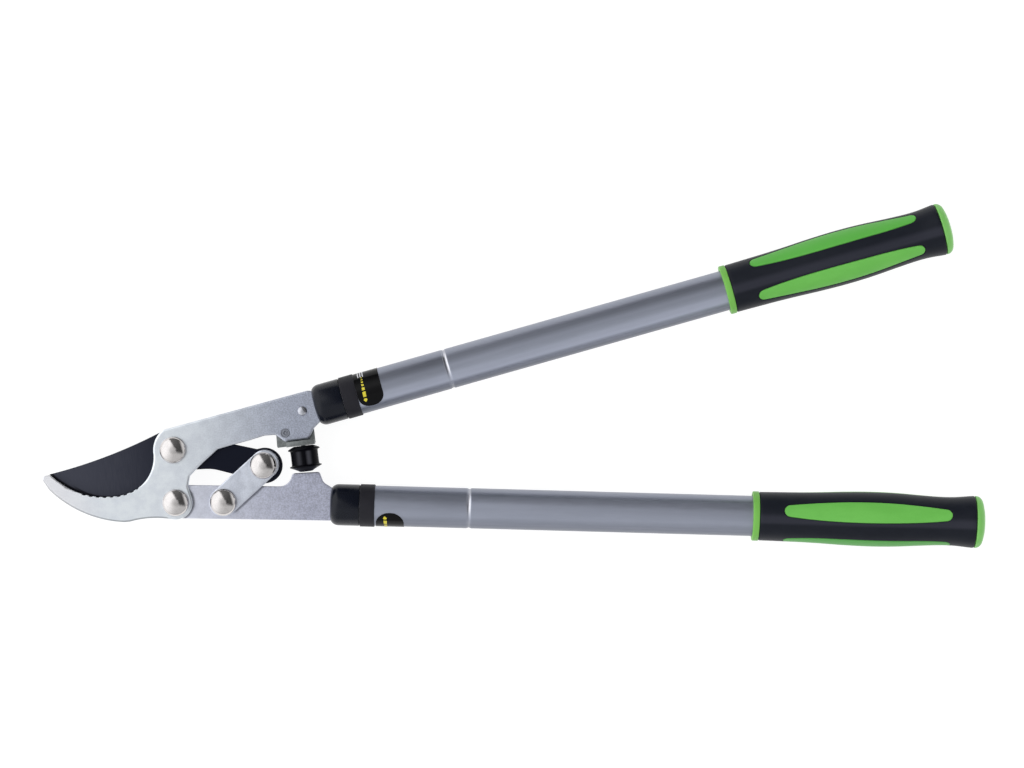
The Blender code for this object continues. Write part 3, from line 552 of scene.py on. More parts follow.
def plate(name, outline, holes, layer, front_roll, rear_roll=0.2, dull=False):
    """A stamped plate between two heights of the plates' frame. Its outline's edge carries a painted
    highlight, but painted shade where it is told to be dull, for all points or for each."""
    loops = []
    for k, loop in enumerate([outline, *holes]):
        roll = front_roll if k == 0 else float(np.max(front_roll))
        stack = []
        for into, depth, _ in edge_rings(layer[1] - layer[0], roll, rear_roll):
            height = np.broadcast_to(layer[1] - depth, len(loop))
            stack.append(np.column_stack([inset(loop, into), height]))
        loops.append(stack)
    # Painted highlight on the rolled edge, turned to painted shade where the edge is dull.
    shine = np.array([bright for _, _, bright in edge_rings(1.0, 0.0, 0.0)])[:, None]
    return stacked_mesh(name, loops, [np.where(dull, -shine, shine)] + [shine] * len(holes))


square = [(0, 0), (10, 0), (10, 10), (0, 10)]
print("a square of 10 mm has an area of", signed_area(square), "mm2")

# %% [markdown]
# All plates turn on the same few places, so these are written once, in millimetres from the arm
# pivot. The hook arm lies in front, the lower arm and the blade behind it. Each arm ends in a
# tang, a tongue that runs into its handle's inner tube and is held there by a cross pin. The
# measures could be typed where they are used, but then a hole and its bolt could drift apart.

# %% Places on the plates
FRONT_LAYER = (0.15, 4.15)
REAR_LAYER = (-4.15, -0.15)
LINK_LAYERS = {"front_link": (0.15, 3.15), "rear_link": (-7.45, -4.45)}
ARM_PIVOT = (0.0, 0.0)
BLADE_PIVOT = (2.9, 37.7)
BLADE_LINK_PIVOT = (65.8, 18.6)
ARM_LINK_PIVOT = (34.0, -3.9)
BORE_RADIUS = 4.15
DOMED_RIVET_PLACE = (98.6, 54.1)
FLUSH_RIVET_PLACE = (84.4, 39.9)
RIVET_HOLE_RADIUS = 1.85
TONGUE_START = 7.5
TANG_END = 55.0
TANG_HALF_WIDTH = 8.0
PIN_PLACE = 15.0
PIN_HOLE_RADIUS = 2.15


def tang(side, front_corners, back_corners):
    """A plate's end inside the handle: wide at the collar, then a tongue in the inner tube. A
    corner is given along and across the handle."""
    tongue = [
        (TONGUE_START, TANG_HALF_WIDTH),
        (TANG_END, TANG_HALF_WIDTH),
        (TANG_END, -TANG_HALF_WIDTH),
        (TONGUE_START, -TANG_HALF_WIDTH),
    ]
    return [on_handle(side, *point) for point in front_corners + tongue + back_corners]


print(f"pivots: {math.dist(ARM_PIVOT, BLADE_PIVOT):.1f} mm from the arm's to the blade's")

# %% [markdown]
# The hook arm is one plate: the hooked jaw, the eye that holds both pivots, the arm and its tang.
# The jaw's inner edge has a row of shallow scallops, which grip the branch. A Boolean with nine
# small cutters could make them, but here the outline's own points step back from the jaw's
# centre, so the plate's rolled edge follows them.

# %% Scallops of the jaw
SCALLOPED_CENTRE, SCALLOPED_RADIUS = (-42.0, 55.0), 45.1
SCALLOPS, FIRST_SCALLOP = 9, 8.0
SCALLOP_PITCH = 5.05
SCALLOP_WIDTH = 2.6
SCALLOP_SLOPE = 0.5
SCALLOP_DEPTH = 0.62


def scalloped(points, first, centre):
    """Shallow notches along an edge. Length is summed along it; within half a scallop's width of
    each notch's middle the edge steps back from the centre by the depth, over a short slope."""
    points = np.asarray(points)
    length = np.concatenate([[0], np.cumsum(np.linalg.norm(np.diff(points, axis=0), axis=1))])
    step = np.round((length - first) / SCALLOP_PITCH)
    off = np.abs(length - first - step * SCALLOP_PITCH)
    share = np.clip((SCALLOP_WIDTH / 2 + SCALLOP_SLOPE / 2 - off) / SCALLOP_SLOPE, 0, 1)
    share = share * (step >= 0) * (step < SCALLOPS)
    away = points - centre
    away /= np.linalg.norm(away, axis=1, keepdims=True)
    return [tuple(p) for p in points + away * SCALLOP_DEPTH * share[:, None]]


inner_edge = arc_through((-71.9, 17.55), (-57.0, 11.6), (-44.9, 10.05), 130)
inner_edge += arc_through((-44.7, 10.03), (-36.0, 10.25), (-25.8, 13.6), 90)
inner_edge = scalloped(inner_edge, FIRST_SCALLOP, SCALLOPED_CENTRE)
print(f"scallops: {SCALLOPS}, one every {SCALLOP_PITCH} mm along {len(inner_edge)} points")

# %% Hook arm
ARM_ROLL, TIP_ROLL, JAW_ROLL = 1.5, 0.8, 0.2
underside = [
    (105.3, 40.8, 4.0),
    (100.8, 33.7, 2.0),
    (83.2, 33.7, 2.0),
    (77.4, 39.4, 3.0),
    (69.5, 39.9, 8.0),
    (58.0, 37.8),
    (46.0, 36.15),
    (34.8, 34.35, 2.5),
    (19.6, 23.5),
    (15.6, 20.25),
    (12.5, 17.5, 2.5),
    (10.3, 10.2, 4.0),
]
hook_outline = rounded([
    (-92.85, 31.0, 1.8),
    *arc_through((-87.2, 30.8), (-81.0, 24.45), (-73.8, 18.85), 10),
    *inner_edge,
    *arc_through((-24.9, 14.0), (-16.4, 22.0), (-11.5, 36.0), 16),
    *arc_through((-11.6, 37.5), (-9.8, 45.0), (-5.6, 50.8), 12),
    (-3.2, 53.0, 6.0),
    (103.8, 68.2, 3.0),
    *tang("upper", [(2.0, 11.2), (TONGUE_START, 11.2)], [(TONGUE_START, -11.6), (0.0, -11.9)]),
    *underside,
    *arc(ARM_PIVOT, 12.2, 16, -98),
    *arc_through((-8.0, -10.5), (-20.0, -8.8), (-34.0, -9.5), 10),
    *arc_through((-38.0, -9.4), (-63.5, -0.8), (-88.9, 20.2), 20),
    (-92.6, 27.6),
])
hook_outline = np.array(hook_outline)[::-1]
hook_holes = [
    hole(ARM_PIVOT, BORE_RADIUS),
    hole(BLADE_PIVOT, BORE_RADIUS),
    hole(DOMED_RIVET_PLACE, RIVET_HOLE_RADIUS),
    hole(FLUSH_RIVET_PLACE, RIVET_HOLE_RADIUS),
    hole(on_handle("upper", PIN_PLACE, 0), PIN_HOLE_RADIUS),
]
x, y = hook_outline.T
on_inner_edge = (x > -74) & (x < -20) & (y > 9.0) & (y < 19.5)
jaw_roll = np.interp(x, (-74, -69, -27, -20), (TIP_ROLL, JAW_ROLL, JAW_ROLL, ARM_ROLL))
hook_roll = np.where((x > -70) | (y < 21), ARM_ROLL, TIP_ROLL)
hook_roll = np.where(on_inner_edge, jaw_roll, hook_roll)
# Along the jaw's underside the edge gets painted shade instead of the painted highlight.
shaded_jaw_edge = (x < -6) & (y < np.interp(x, (-93, -75, -60, -30), (29, 8, 0, -5)))
hook_arm = plate(
    "dressed_hook_arm", hook_outline, hook_holes, FRONT_LAYER, hook_roll, rear_roll=0.1, dull=shaded_jaw_edge
)
add_piece("dressed_hook_arm", hook_arm, tool_frame, zinc["front"], "head", ["hook_arm"])
print(f"hook arm: {signed_area(hook_outline) / 100:.1f} cm2")

# %% [markdown]
# The lower arm is a second plate, behind the hook arm, and turns on the arm pivot. A flat link in
# front and one behind join it to the blade's tail: each is two half circles and the straight
# sides between them. They are plates too, with the same kind of edge but a smaller roll.

# %% Lower arm and links
LOWER_ARM_ROLL, LINK_ROLL = 0.8, 0.9
lower_arm_outline = rounded([
    *arc((0.1, 0.65), 12.05, 262, 82),
    (81.6, 1.3, 9.0),
    (85.9, 10.4, 2.5),
    (105.1, 9.1, 2.0),
    (107.0, 1.2, 6.0),
    *tang("lower", [(1.0, 11.8), (TONGUE_START, 11.8)], [(TONGUE_START, -11.4), (-1.0, -11.7)]),
])
lower_holes = [
    hole(ARM_PIVOT, BORE_RADIUS),
    hole(ARM_LINK_PIVOT, BORE_RADIUS),
    hole(on_handle("lower", PIN_PLACE, 0), PIN_HOLE_RADIUS),
]
lower_arm = plate(
    "dressed_lower_arm", lower_arm_outline[::-1], lower_holes, REAR_LAYER, LOWER_ARM_ROLL
)
add_piece(
    "dressed_lower_arm", lower_arm, tool_frame, zinc["rear"], "lower_arm", ["lower_arm"]
)
LINK_HALF_WIDTH = 10.35
LINK_FAR_REACH = 1.4
LINK_EYE_RADIUS = 6.1
run = np.subtract(BLADE_LINK_PIVOT, ARM_LINK_PIVOT)
lean = math.degrees(math.atan2(run[1], run[0]))
far_centre = np.add(BLADE_LINK_PIVOT, LINK_FAR_REACH * run / np.hypot(*run))
link_outline = arc(far_centre, LINK_HALF_WIDTH, lean - 90, lean + 90)
link_outline += arc(ARM_LINK_PIVOT, LINK_HALF_WIDTH, lean + 90, lean + 270)
link_holes = [hole(ARM_LINK_PIVOT, BORE_RADIUS), hole(BLADE_LINK_PIVOT, LINK_EYE_RADIUS)]
for name, layer in LINK_LAYERS.items():
    link = plate("dressed_" + name, link_outline, link_holes, layer, LINK_ROLL)
    add_piece("dressed_" + name, link, tool_frame, zinc["link"], "links", [name])
print(f"link: {np.hypot(*run):.1f} mm between its eyes, leaning {lean:.1f} degrees")

# %% [markdown]
# On the lower arm, beside what lies close in front of it, a thin dark line of painted shadow runs
# round the hook arm's eye, and one along the front link. They have no thickness, so they aren't
# modelled but drawn by masks in the lower arm's finish. Round the eye the mask is a range of the
# distance from the pivot, and beside the link a range of the distance across it.

# %% Painted shadow beside the eye and the link
def overlaid(material, share, colour):
    """Mixes a colour over the one that a finish already has, by a share from its own nodes."""
    tree = material.node_tree
    base = tree.nodes["Principled BSDF"].inputs["Base Color"]
    tree.links.new(mixed(tree, share, base.links[0].from_socket, colour), base)


PAINTED_SHADOW_SHARE = 0.62
along_way = (*(run / np.hypot(*run)), 0.0)
across_way = (along_way[1], -along_way[0], 0.0)
tree = zinc["rear"].node_tree
from_pivot = vector_math(tree, "SUBTRACT", object_place(tree), tool_origin)
in_plane = vector_math(tree, "MULTIPLY", from_pivot, (1, 1, 0))
right_of_pivot = ranged(tree, coordinate(tree, in_plane, "X"), 1 * MM, 5 * MM)
by_eye = line_mask(tree, vector_math(tree, "LENGTH", in_plane), (11.8, 12.3), (14.2, 12.9))
along_link = vector_math(tree, "DOT_PRODUCT", in_plane, along_way)
across_link = vector_math(tree, "DOT_PRODUCT", in_plane, across_way)
past_arm_bolt = ranged(tree, along_link, 24 * MM, 30 * MM)
by_link = line_mask(tree, across_link, (32.8, 33.3), (35.2, 34.0))
# Painted shadow cast by the hook arm's eye and the front link on the lower arm.
painted_shadow = either(tree, times(tree, by_eye, right_of_pivot), times(tree, by_link, past_arm_bolt))
overlaid(zinc["rear"], times(tree, painted_shadow, PAINTED_SHADOW_SHARE), (0.10, 0.10, 0.12))
print("dirt lines run with the link, along", [round(float(v), 3) for v in along_way])

# %% [markdown]
# The blade has a black coating that lets wood slide. Its lighter grey towards the tip is painted
# light, with fine streaks that run the way of the cut, so its grain is drawn out along Y. Along the
# jaw's inner edge a black line is the hook plate's painted shadow. A second mesh could carry that
# line, but it follows two circles, so a range of the distance from each one's centre is enough.

# %% Blade coating
HOOK_SHADOW_CENTRE, HOOK_SHADOW_RADIUS = (-38.5, 71.6), 63.5
COATED_BLACK, PAINTED_SHADOW_BLACK = (0.0055, 0.0072, 0.017), (0.001, 0.001, 0.004)
LIT_TIP_GREY, STREAK_GREY = (0.054, 0.057, 0.077), (0.060, 0.062, 0.080)
blade_coating, tree, shader = new_finish("blade_coating", Specular_IOR_Level=0.1)
place = object_place(tree)
along = coordinate(tree, place, "X")
# Painted light: the coating turns lighter towards the tip.
lit_towards_tip = ranged(tree, along, tool_x(40), tool_x(-95))
brushed = grain_at(tree, place, (0.7, 11, 0.7), 3.0)
streak = times(tree, brushed, ranged(tree, lit_towards_tip, 0.25, 0.7, 0.0, 0.35))
streaked = mixed(tree, streak, mixed(tree, lit_towards_tip, COATED_BLACK, LIT_TIP_GREY), STREAK_GREY)


def beyond_circle(centre, radius, begins, ends):
    """Share of a place that lies between two distances, in millimetres, from a circle."""
    centre = tool_origin + Vector((*centre, 0)) * MM
    distance = vector_math(tree, "DISTANCE", place, centre)
    return ranged(tree, distance, (radius + begins) * MM, (radius + ends) * MM)


# Painted shadow of the hook plate on the blade, along the jaw's inner edge and in its scallops.
near_tip = ranged(tree, along, tool_x(-58), tool_x(-68))
by_tip = times(tree, beyond_circle(HOOK_SHADOW_CENTRE, HOOK_SHADOW_RADIUS, -2.2, -1.2), near_tip)
strengthens = ranged(tree, along, tool_x(-30), tool_x(-50), 0.2, 0.9)
before_tip = ranged(tree, along, tool_x(-74), tool_x(-66))
in_scallops = beyond_circle(SCALLOPED_CENTRE, SCALLOPED_RADIUS, -0.6, 0.2)
painted_hook_shadow = either(tree, by_tip, times(tree, in_scallops, strengthens, before_tip))
tree.links.new(mixed(tree, painted_hook_shadow, streaked, PAINTED_SHADOW_BLACK), shader.inputs["Base Color"])
tree.links.new(ranged(tree, brushed, 0.0, 1.0, 0.40, 0.50), shader.inputs["Roughness"])
bumped(tree, shader, brushed, 0.004)
print("blade coating:", len(tree.nodes), "nodes")

# %% [markdown]
# The blade is a plate too, but its cutting edge is ground away from the rear to a thin land. So
# below the land its rings run to a second outline, which lies further in along the edge and
# agrees with the first one along the spine and the tail.

# %% Blade
EDGE_LAND = 0.6
EDGE_BEVEL = 5.5
BEVEL_RUN_OUT = 9
GROUND_TOWARDS = (-42.0, 62.0)
BLADE_ROLL = 0.25
BLADE_THICKNESS = REAR_LAYER[1] - REAR_LAYER[0]
spine = arc_through((-88.0, 31.4), (-50.4, 38.0), (-5.5, 51.4), 24)
tail = [
    (-1.1, 52.4, 5.0),
    (12.0, 48.2, 20.0),
    (62.4, 30.95),
    *arc((66.6, 18.5), 12.8, 95, -115),
    (43.5, 15.2, 30.0),
    (29.0, 20.9, 30.0),
    (6.0, 22.6, 20.0),
]
heel = arc_through((-6.0, 20.5), (-22.5, 10.0), (-42.0, 5.6), 18)
front_edge = arc_through((-47.0, 5.9), (-67.6, 11.6), (-86.6, 29.2), 24)
edge_points = np.array(heel + front_edge)
solid_points = np.array(rounded([*spine, *tail]))
step = np.arange(len(edge_points))
ramp = np.minimum(1, np.minimum(step + 1, len(step) - step) / BEVEL_RUN_OUT)[:, None]
inwards = np.array(GROUND_TOWARDS) - edge_points
inwards /= np.linalg.norm(inwards, axis=1, keepdims=True)
full_outline = np.concatenate([solid_points, edge_points])[::-1]
ground_outline = np.concatenate([solid_points, edge_points + inwards * ramp * EDGE_BEVEL])[::-1]
depths = [(BLADE_ROLL + FLAT_MARGIN, 0.0, 0.0)]
depths += [
    (BLADE_ROLL * (1 - math.sin(t)), BLADE_ROLL * (1 - math.cos(t)), math.sin(2 * t))
    for t in np.radians((0, 22, 45, 68, 90))
]
depths += [(0.0, EDGE_LAND, 0.0), (0.0, BLADE_THICKNESS, 0.0), (FLAT_MARGIN, BLADE_THICKNESS, 0.0)]
blade_holes = [hole(BLADE_PIVOT, BORE_RADIUS), hole(BLADE_LINK_PIVOT, BORE_RADIUS)]
blade_loops = []
for k, loop in enumerate([full_outline, *blade_holes]):
    blade_loops.append([
        np.column_stack([
            inset(ground_outline if k == 0 and depth > EDGE_LAND else loop, into),
            np.full(len(loop), REAR_LAYER[1] - depth),
        ])
        for into, depth, _ in depths
    ])
shine = np.array([bright for _, _, bright in depths])[:, None]
blade = stacked_mesh("dressed_blade", blade_loops, [shine] * len(blade_loops))
add_piece("dressed_blade", blade, tool_frame, blade_coating, "blade", ["cutting_blade"])

# %% [markdown]
# Turned and moulded stuff has a quieter finish than the plates: two close tones in soft clouds,
# and a fine grain that roughens it. One function makes all of these. Their cells are round on a
# polished or moulded piece, and long ones run along a drawn tube.

# %% Grained finishes: nickel and steel
def grained_finish(name, place_of, dark, light, cloud_mm, grain_mm, bump_mm, rough, **constants):
    """Two close tones in clouds, and a fine grain that bumps and roughens the surface."""
    material, tree, shader = new_finish(name, **constants)
    place = place_of(tree)
    mottle = use_group(tree, mottle_group, {
        "Place": place,
        "Cloud in mm": cloud_mm,
        "Speck in mm": grain_mm,
        "Speck Share": 0.45,
        "Dark": opaque(dark),
        "Light": opaque(light),
    })
    grain = grain_at(tree, place, grain_mm, 2.0)
    roughness = ranged(tree, grain, 0.0, 1.0, rough - 0.04, rough + 0.06)
    tree.links.new(mottle["Colour"], shader.inputs["Base Color"])
    tree.links.new(roughness, shader.inputs["Roughness"])
    bumped(tree, shader, grain, bump_mm)
    return material


nickel = grained_finish(
    "bright_nickel", object_place, (0.64, 0.61, 0.60), (0.73, 0.70, 0.69),
    cloud_mm=(4, 4, 4), grain_mm=(0.8, 0.8, 0.8), bump_mm=0.006, rough=0.12, Metallic=1.0,
)
steel = grained_finish(
    "bright_steel", object_place, (0.34, 0.34, 0.36), (0.46, 0.46, 0.48),
    cloud_mm=(3, 3, 3), grain_mm=(0.3, 2, 0.3), bump_mm=0.006, rough=0.32, Metallic=1.0,
)
print("made", nickel.name, "and", steel.name)

# %% [markdown]
# Four bolts hold the linkage. Each has a polished dome, nearly half an ellipse on a short rim,
# and a shank whose last turns show the thread behind its nut. The dome is a turned profile. The
# thread could be a screw modifier's, but it is the same grid, whose radius rises and falls along
# a helix, and the nut's six flats are another rule for the radius.

# %% Turned surfaces
def turned(name, profile, sides, closed=False, radius_share=None):
    """A profile of (along, radius) rows spun about X: at turn t a point is at radius times
    (sin t, cos t). The share, a function of turns and rows, changes the radius round the turn."""
    profile = np.asarray(profile, float)
    turns = np.linspace(0, 2 * np.pi, sides, endpoint=False)[:, None]
    along = np.broadcast_to(profile[None, :, 0], (sides, len(profile)))
    radius = np.broadcast_to(profile[None, :, 1], (sides, len(profile)))
    if radius_share is not None:
        radius = radius_share(turns, along, radius)
    points = np.stack([along, radius * np.sin(turns), radius * np.cos(turns)], -1)
    return closed_mesh(name, points, grid_faces(sides, len(profile), True, closed))


def upright(place):
    """Frame of a round piece that stands up along Z at a place in the plates' frame."""
    quarter = Matrix.Rotation(-math.pi / 2, 4, "Y")
    return tool_frame @ Matrix.Translation(Vector((*place, 0)) * MM) @ quarter


print("an upright piece points along", [round(v) for v in upright(ARM_PIVOT).to_3x3().col[0]])

# %% Bolt: dome, shank and thread
GAP = 0.3
SHANK_RADIUS = 4.0
DOME_RADIUS = 9.7
DOME_HEIGHT = 6.0
RIM_HEIGHT = 1.0
CHAMFER = 0.5
THREAD_PITCH = 1.25
THREAD_DEPTH = 0.35
THREAD_STEP = 0.15
THREAD_LENGTH = 4.8


def dome_profile(seat, end):
    """Rows from the shank's end up to the crown: the dome is radius times cos, height times sin."""
    turns = np.radians(np.linspace(0, 90, 22))
    height = seat + RIM_HEIGHT + (DOME_HEIGHT - RIM_HEIGHT) * np.sin(turns)
    crown = np.stack([height, DOME_RADIUS * np.cos(turns)], 1)
    shank = [(end, 0.0), (end, 3.3), (end + CHAMFER, SHANK_RADIUS)]
    shank += [(end + CHAMFER + THREAD_STEP * k, SHANK_RADIUS) for k in range(1, 32)]
    shank += [(seat, SHANK_RADIUS), (seat, DOME_RADIUS - 0.5), (seat + 0.15, DOME_RADIUS - 0.15)]
    return shank + [(seat + 0.5, DOME_RADIUS)] + [tuple(row) for row in crown]


def threaded(end):
    """A rule that lowers the shank along a helix, from just above its end."""

    def radius_at(turns, along, radius):
        """The radius less a triangle wave, which moves on by one pitch at every turn."""
        phase = (along - end) / THREAD_PITCH + turns / (2 * np.pi)
        depth = THREAD_DEPTH * np.abs(2 * (phase % 1.0) - 1)
        above = along - end - 0.1
        return radius - np.where((above > 0) & (above < THREAD_LENGTH), depth, 0.0)

    return radius_at


print("a bolt's profile has", len(dome_profile(0.0, -14.0)), "rows")

# %% Washer and nut
WASHER_RADIUS = 8.0
WASHER_THICKNESS = 1.2
NUT_ACROSS_FLATS = 13.0
NUT_THICKNESS = 4.6
NUT_CORNER_RADIUS = 7.0
BOLT_PROUD = 0.8
WASHER_EASE = 0.25
BOLT_SIDES, WASHER_SIDES, NUT_SIDES = 72, 64, 96


def hexagon(low, high):
    """The nut's radius: half its width over the cosine from a flat's middle, and no more than
    a 30 degree cone that starts at each face."""
    half = NUT_ACROSS_FLATS / 2

    def radius_at(turns, along, radius):
        """The smaller one of flat and cone; the bore keeps its own radius."""
        flat = half / np.cos((turns % (math.pi / 3)) - math.pi / 6)
        from_face = np.minimum(along - low, high - along)
        cone = half * 0.98 + from_face * 1.73
        return np.where(radius > BORE_RADIUS + 0.5, np.minimum(flat, cone), radius)

    return radius_at


def ring_profile(low, high, inner, outer, ease):
    """A flat ring's outline with eased edges, as a closed loop of rows."""
    eased = [(0, ease), (0.3 * ease, 0.3 * ease), (ease, 0)]
    front = [(low + along, outer - across) for along, across in eased]
    back = [(high - along, outer - across) for along, across in reversed(eased)]
    return [(low, inner), *front, *back, (high, inner)]


def nut_profile(low, high):
    """A nut's outline before its flats are cut, with close rows where the cones meet them."""
    steps = [0.0, 0.25, 0.6, 1.0, 1.5]
    levels = [low + step for step in steps] + [high - step for step in reversed(steps)]
    outside = [(level, NUT_CORNER_RADIUS) for level in levels]
    return [(low, BORE_RADIUS), *outside, (high, BORE_RADIUS)]


print("a nut measures", round(NUT_ACROSS_FLATS / math.cos(math.pi / 6), 1), "mm over its corners")

# %% Four bolts with their washers and nuts
def pivot_set(name, place, body, front_face, rear_face):
    """A bolt with its washer and nut, clamped on two faces; each keeps a small gap."""
    seat = front_face + GAP
    washer_top = rear_face - GAP
    washer_low = washer_top - WASHER_THICKNESS
    nut_top = washer_low - GAP
    nut_low = nut_top - NUT_THICKNESS
    end = nut_low - BOLT_PROUD
    washer_rows = ring_profile(washer_low, washer_top, BORE_RADIUS, WASHER_RADIUS, WASHER_EASE)
    nut_rows = nut_profile(nut_low, nut_top)
    bolt = turned("bolt", dome_profile(seat, end), BOLT_SIDES, radius_share=threaded(end))
    washer = turned("washer", washer_rows, WASHER_SIDES, closed=True)
    nut = turned("nut", nut_rows, NUT_SIDES, closed=True, radius_share=hexagon(nut_low, nut_top))
    for kind, mesh, finish, slot, sharp in (
        ("_bolt", bolt, nickel, "polished_nickel", 50),
        ("_washer", washer, steel, "plain_steel", 35),
        ("_nut", nut, steel, "plain_steel", 25),
    ):
        node = name + kind
        add_piece("dressed_" + node, mesh, upright(place), finish, body, [node], sharp)


plate_faces = (FRONT_LAYER[1], REAR_LAYER[0])
link_faces = (LINK_LAYERS["front_link"][1], LINK_LAYERS["rear_link"][0])
pivot_set("blade_pivot", BLADE_PIVOT, "head", *plate_faces)
pivot_set("arm_pivot", ARM_PIVOT, "head", *plate_faces)
pivot_set("blade_link", BLADE_LINK_PIVOT, "blade", *link_faces)
pivot_set("arm_link", ARM_LINK_PIVOT, "lower_arm", *link_faces)

# %% [markdown]
# Under the arm a sheet bracket carries the rubber bumper. Bent sheet is simple in CAD, so the
# bracket keeps its CAD shape: a copy of it is merged, its flange comes up close under the arm's
# tab, its flat faces are cleared of inner edges, and a small bevel softens its edges as bending
# and tumbling do.

# %% Bracket
FLANGE_TOP, FLANGE_RAISED = 32.0, 33.15


def softened_copy(node, width_mm):
    """A copy of a CAD node's mesh, merged, with its flange's top brought close under the arm's
    tab, and its outer edges rounded over."""
    mesh = frame["nodes"][node].data.copy()
    bm = bmesh.new()
    bm.from_mesh(mesh)
    bmesh.ops.remove_doubles(bm, verts=bm.verts, dist=2e-6)
    for point in bm.verts:
        if abs((point.co.y - tool_origin.y) / MM - FLANGE_TOP) < 0.02:
            point.co.y = tool_origin.y + FLANGE_RAISED * MM
    bmesh.ops.dissolve_limit(bm, angle_limit=math.radians(1), verts=bm.verts, edges=bm.edges)
    corners = [e for e in bm.edges if len(e.link_faces) == 2 and e.calc_face_angle(0) > 0.6]
    rounding_off = {"segments": 3, "profile": 0.5, "affect": "EDGES", "clamp_overlap": True}
    bmesh.ops.bevel(bm, geom=corners, offset=width_mm * MM, **rounding_off)
    bmesh.ops.triangulate(bm, faces=[f for f in bm.faces if len(f.verts) > 4])
    bmesh.ops.recalc_face_normals(bm, faces=bm.faces)
    bm.to_mesh(mesh)
    bm.free()
    mesh.materials.clear()
    return mesh


in_place = Matrix.Identity(4)
bracket = softened_copy("bumper_bracket", 0.3)
add_piece("dressed_bracket", bracket, in_place, zinc["shaded"], "head", ["bumper_bracket"])

# %% [markdown]
# Two rivets hold the bracket: one has a low dome, and the other is set flush, with a groove round
# its middle and a dimple. Both are turned profiles that share the same closed foot behind.

# %% Rivets
RIVET_SEAT = 4.45
RIVET_BACK = -2.95
RIVET_RADIUS = 1.7
RIVET_SIDES = 48
rivet_foot = [
    (-4.15, 0.0), (-4.15, 2.2), (-3.95, 2.7), (-3.55, 3.0), (RIVET_BACK, 3.0), (RIVET_BACK, RIVET_RADIUS),
]
dome_turns = np.radians(np.linspace(0, 90, 12))
domed_head = [(0.0, RIVET_RADIUS), (0.0, 3.3)]
domed_head += [(0.15 + 1.35 * math.sin(t), 3.4 * math.cos(t)) for t in dome_turns]
flush_head = [
    (0.0, RIVET_RADIUS), (0.0, 3.1), (0.2, 3.3), (0.42, 3.15), (0.45, 2.9), (0.15, 2.65), (0.1, 2.35),
    (0.15, 2.05), (0.4, 1.8), (0.42, 1.3), (0.2, 1.05), (-0.7, 0.75), (-0.8, 0.0),
]
for name, head, place, finish in (
    ("bracket_domed_rivet", domed_head, DOMED_RIVET_PLACE, zinc["rivet"]),
    ("bracket_flush_rivet", flush_head, FLUSH_RIVET_PLACE, zinc["dull"]),
):
    head = [(RIVET_SEAT + along, radius) for along, radius in head]
    rivet = turned(name, rivet_foot + head, RIVET_SIDES)
    add_piece("dressed_" + name, rivet, upright(place), finish, "head", [name])

# %% [markdown]
# The bumper is a spool of smooth black rubber: a stem between two flanges and a pointed nose,
# which takes the blow when the handles meet. Rubber is so dark that its shape shows only in two
# soft streaks of light along the stem. The shader's own reflections are too faint for them, and
# stronger ones would grey the whole spool, so two masks across it draw the streaks.

# %% Bumper
BUMPER_PLACE = (96.2, 29.2, 2.9)
BUMPER_SIDES = 72
bumper_black = grained_finish(
    "bumper_black", own_place, (0.0012, 0.0012, 0.0025), (0.0025, 0.0025, 0.0045),
    cloud_mm=(5, 5, 5), grain_mm=(0.5, 0.5, 0.5), bump_mm=0.008, rough=0.26,
    Specular_IOR_Level=0.05,
)
tree = bumper_black.node_tree
along, across = (coordinate(tree, own_place(tree), axis) for axis in "XY")
# Two painted highlights along the stem, between the flanges.
left = times(tree, line_mask(tree, across, (-6.5, -3.7), (-0.8, -3.7)), 0.55)
right = line_mask(tree, across, (0.8, 3.3), (6.2, 3.5))
between_flanges = line_mask(tree, along, (3.2, 4.4), (14.2, 13.0))
painted_streaks = times(tree, either(tree, left, right), between_flanges)
overlaid(bumper_black, painted_streaks, (0.060, 0.060, 0.072))
spool_rows = [
    (9.5, 0.0), (9.5, 1.9), (0.0, 1.9), (0.0, 6.9), (0.5, 8.3), (1.8, 11.0), (2.2, 11.4), (2.8, 11.45),
    (3.1, 11.1), (3.2, 10.4), (3.6, 10.0), (4.5, 9.9), (8.5, 9.85), (12.6, 9.9), (13.6, 10.0), (14.0, 10.4),
    (14.1, 11.2), (14.35, 11.5), (14.9, 11.5), (15.2, 11.1), (16.2, 8.8), (17.6, 5.9), (18.2, 5.0),
    (18.5, 4.2), (18.6, 3.2), (18.6, 0.0),
]
towards_lower_handle = Matrix.Rotation(-math.pi / 2, 4, "Z")
add_piece(
    "dressed_bumper", turned("bumper", spool_rows, BUMPER_SIDES),
    tool_frame @ Matrix.Translation(Vector(BUMPER_PLACE) * MM) @ towards_lower_handle,
    bumper_black, "head", ["rubber_bumper"],
)

# %% [markdown]
# Each handle begins with two black collars: a fixed one with a rounded nose, slotted for the
# plate's tang, and a ring that turns with the outer tube. Both are turned profiles in moulded
# plastic, the fixed one glossier. A slot isn't round, so no profile can hold it: a Boolean cuts
# it and is applied, and the piece stays one closed mesh.

# %% Measures of a handle's front
FIXED_COLLAR_LENGTH = 20.9
FIXED_COLLAR_RADIUS = 14.9
TUBE_COLLAR_END = 32.0
TUBE_COLLAR_RADIUS = 15.3
OUTER_TUBE_START = 23.5
OUTER_TUBE_END = 453.5
OUTER_TUBE_RADIUS = 14.5
OUTER_TUBE_WALL = 1.2
GROOVE_PLACE = 99.7
GROOVE_HALF_WIDTH = 1.9
GROOVE_DEPTH = 0.55
INNER_TUBE_START = 9.0
INNER_TUBE_RADIUS = 12.0
LAYERS = {"upper": FRONT_LAYER, "lower": REAR_LAYER}
BODIES = {"upper": "head", "lower": "lower_arm"}
print(f"outer tube: {OUTER_TUBE_END - OUTER_TUBE_START} mm long, {2 * OUTER_TUBE_RADIUS} mm across")

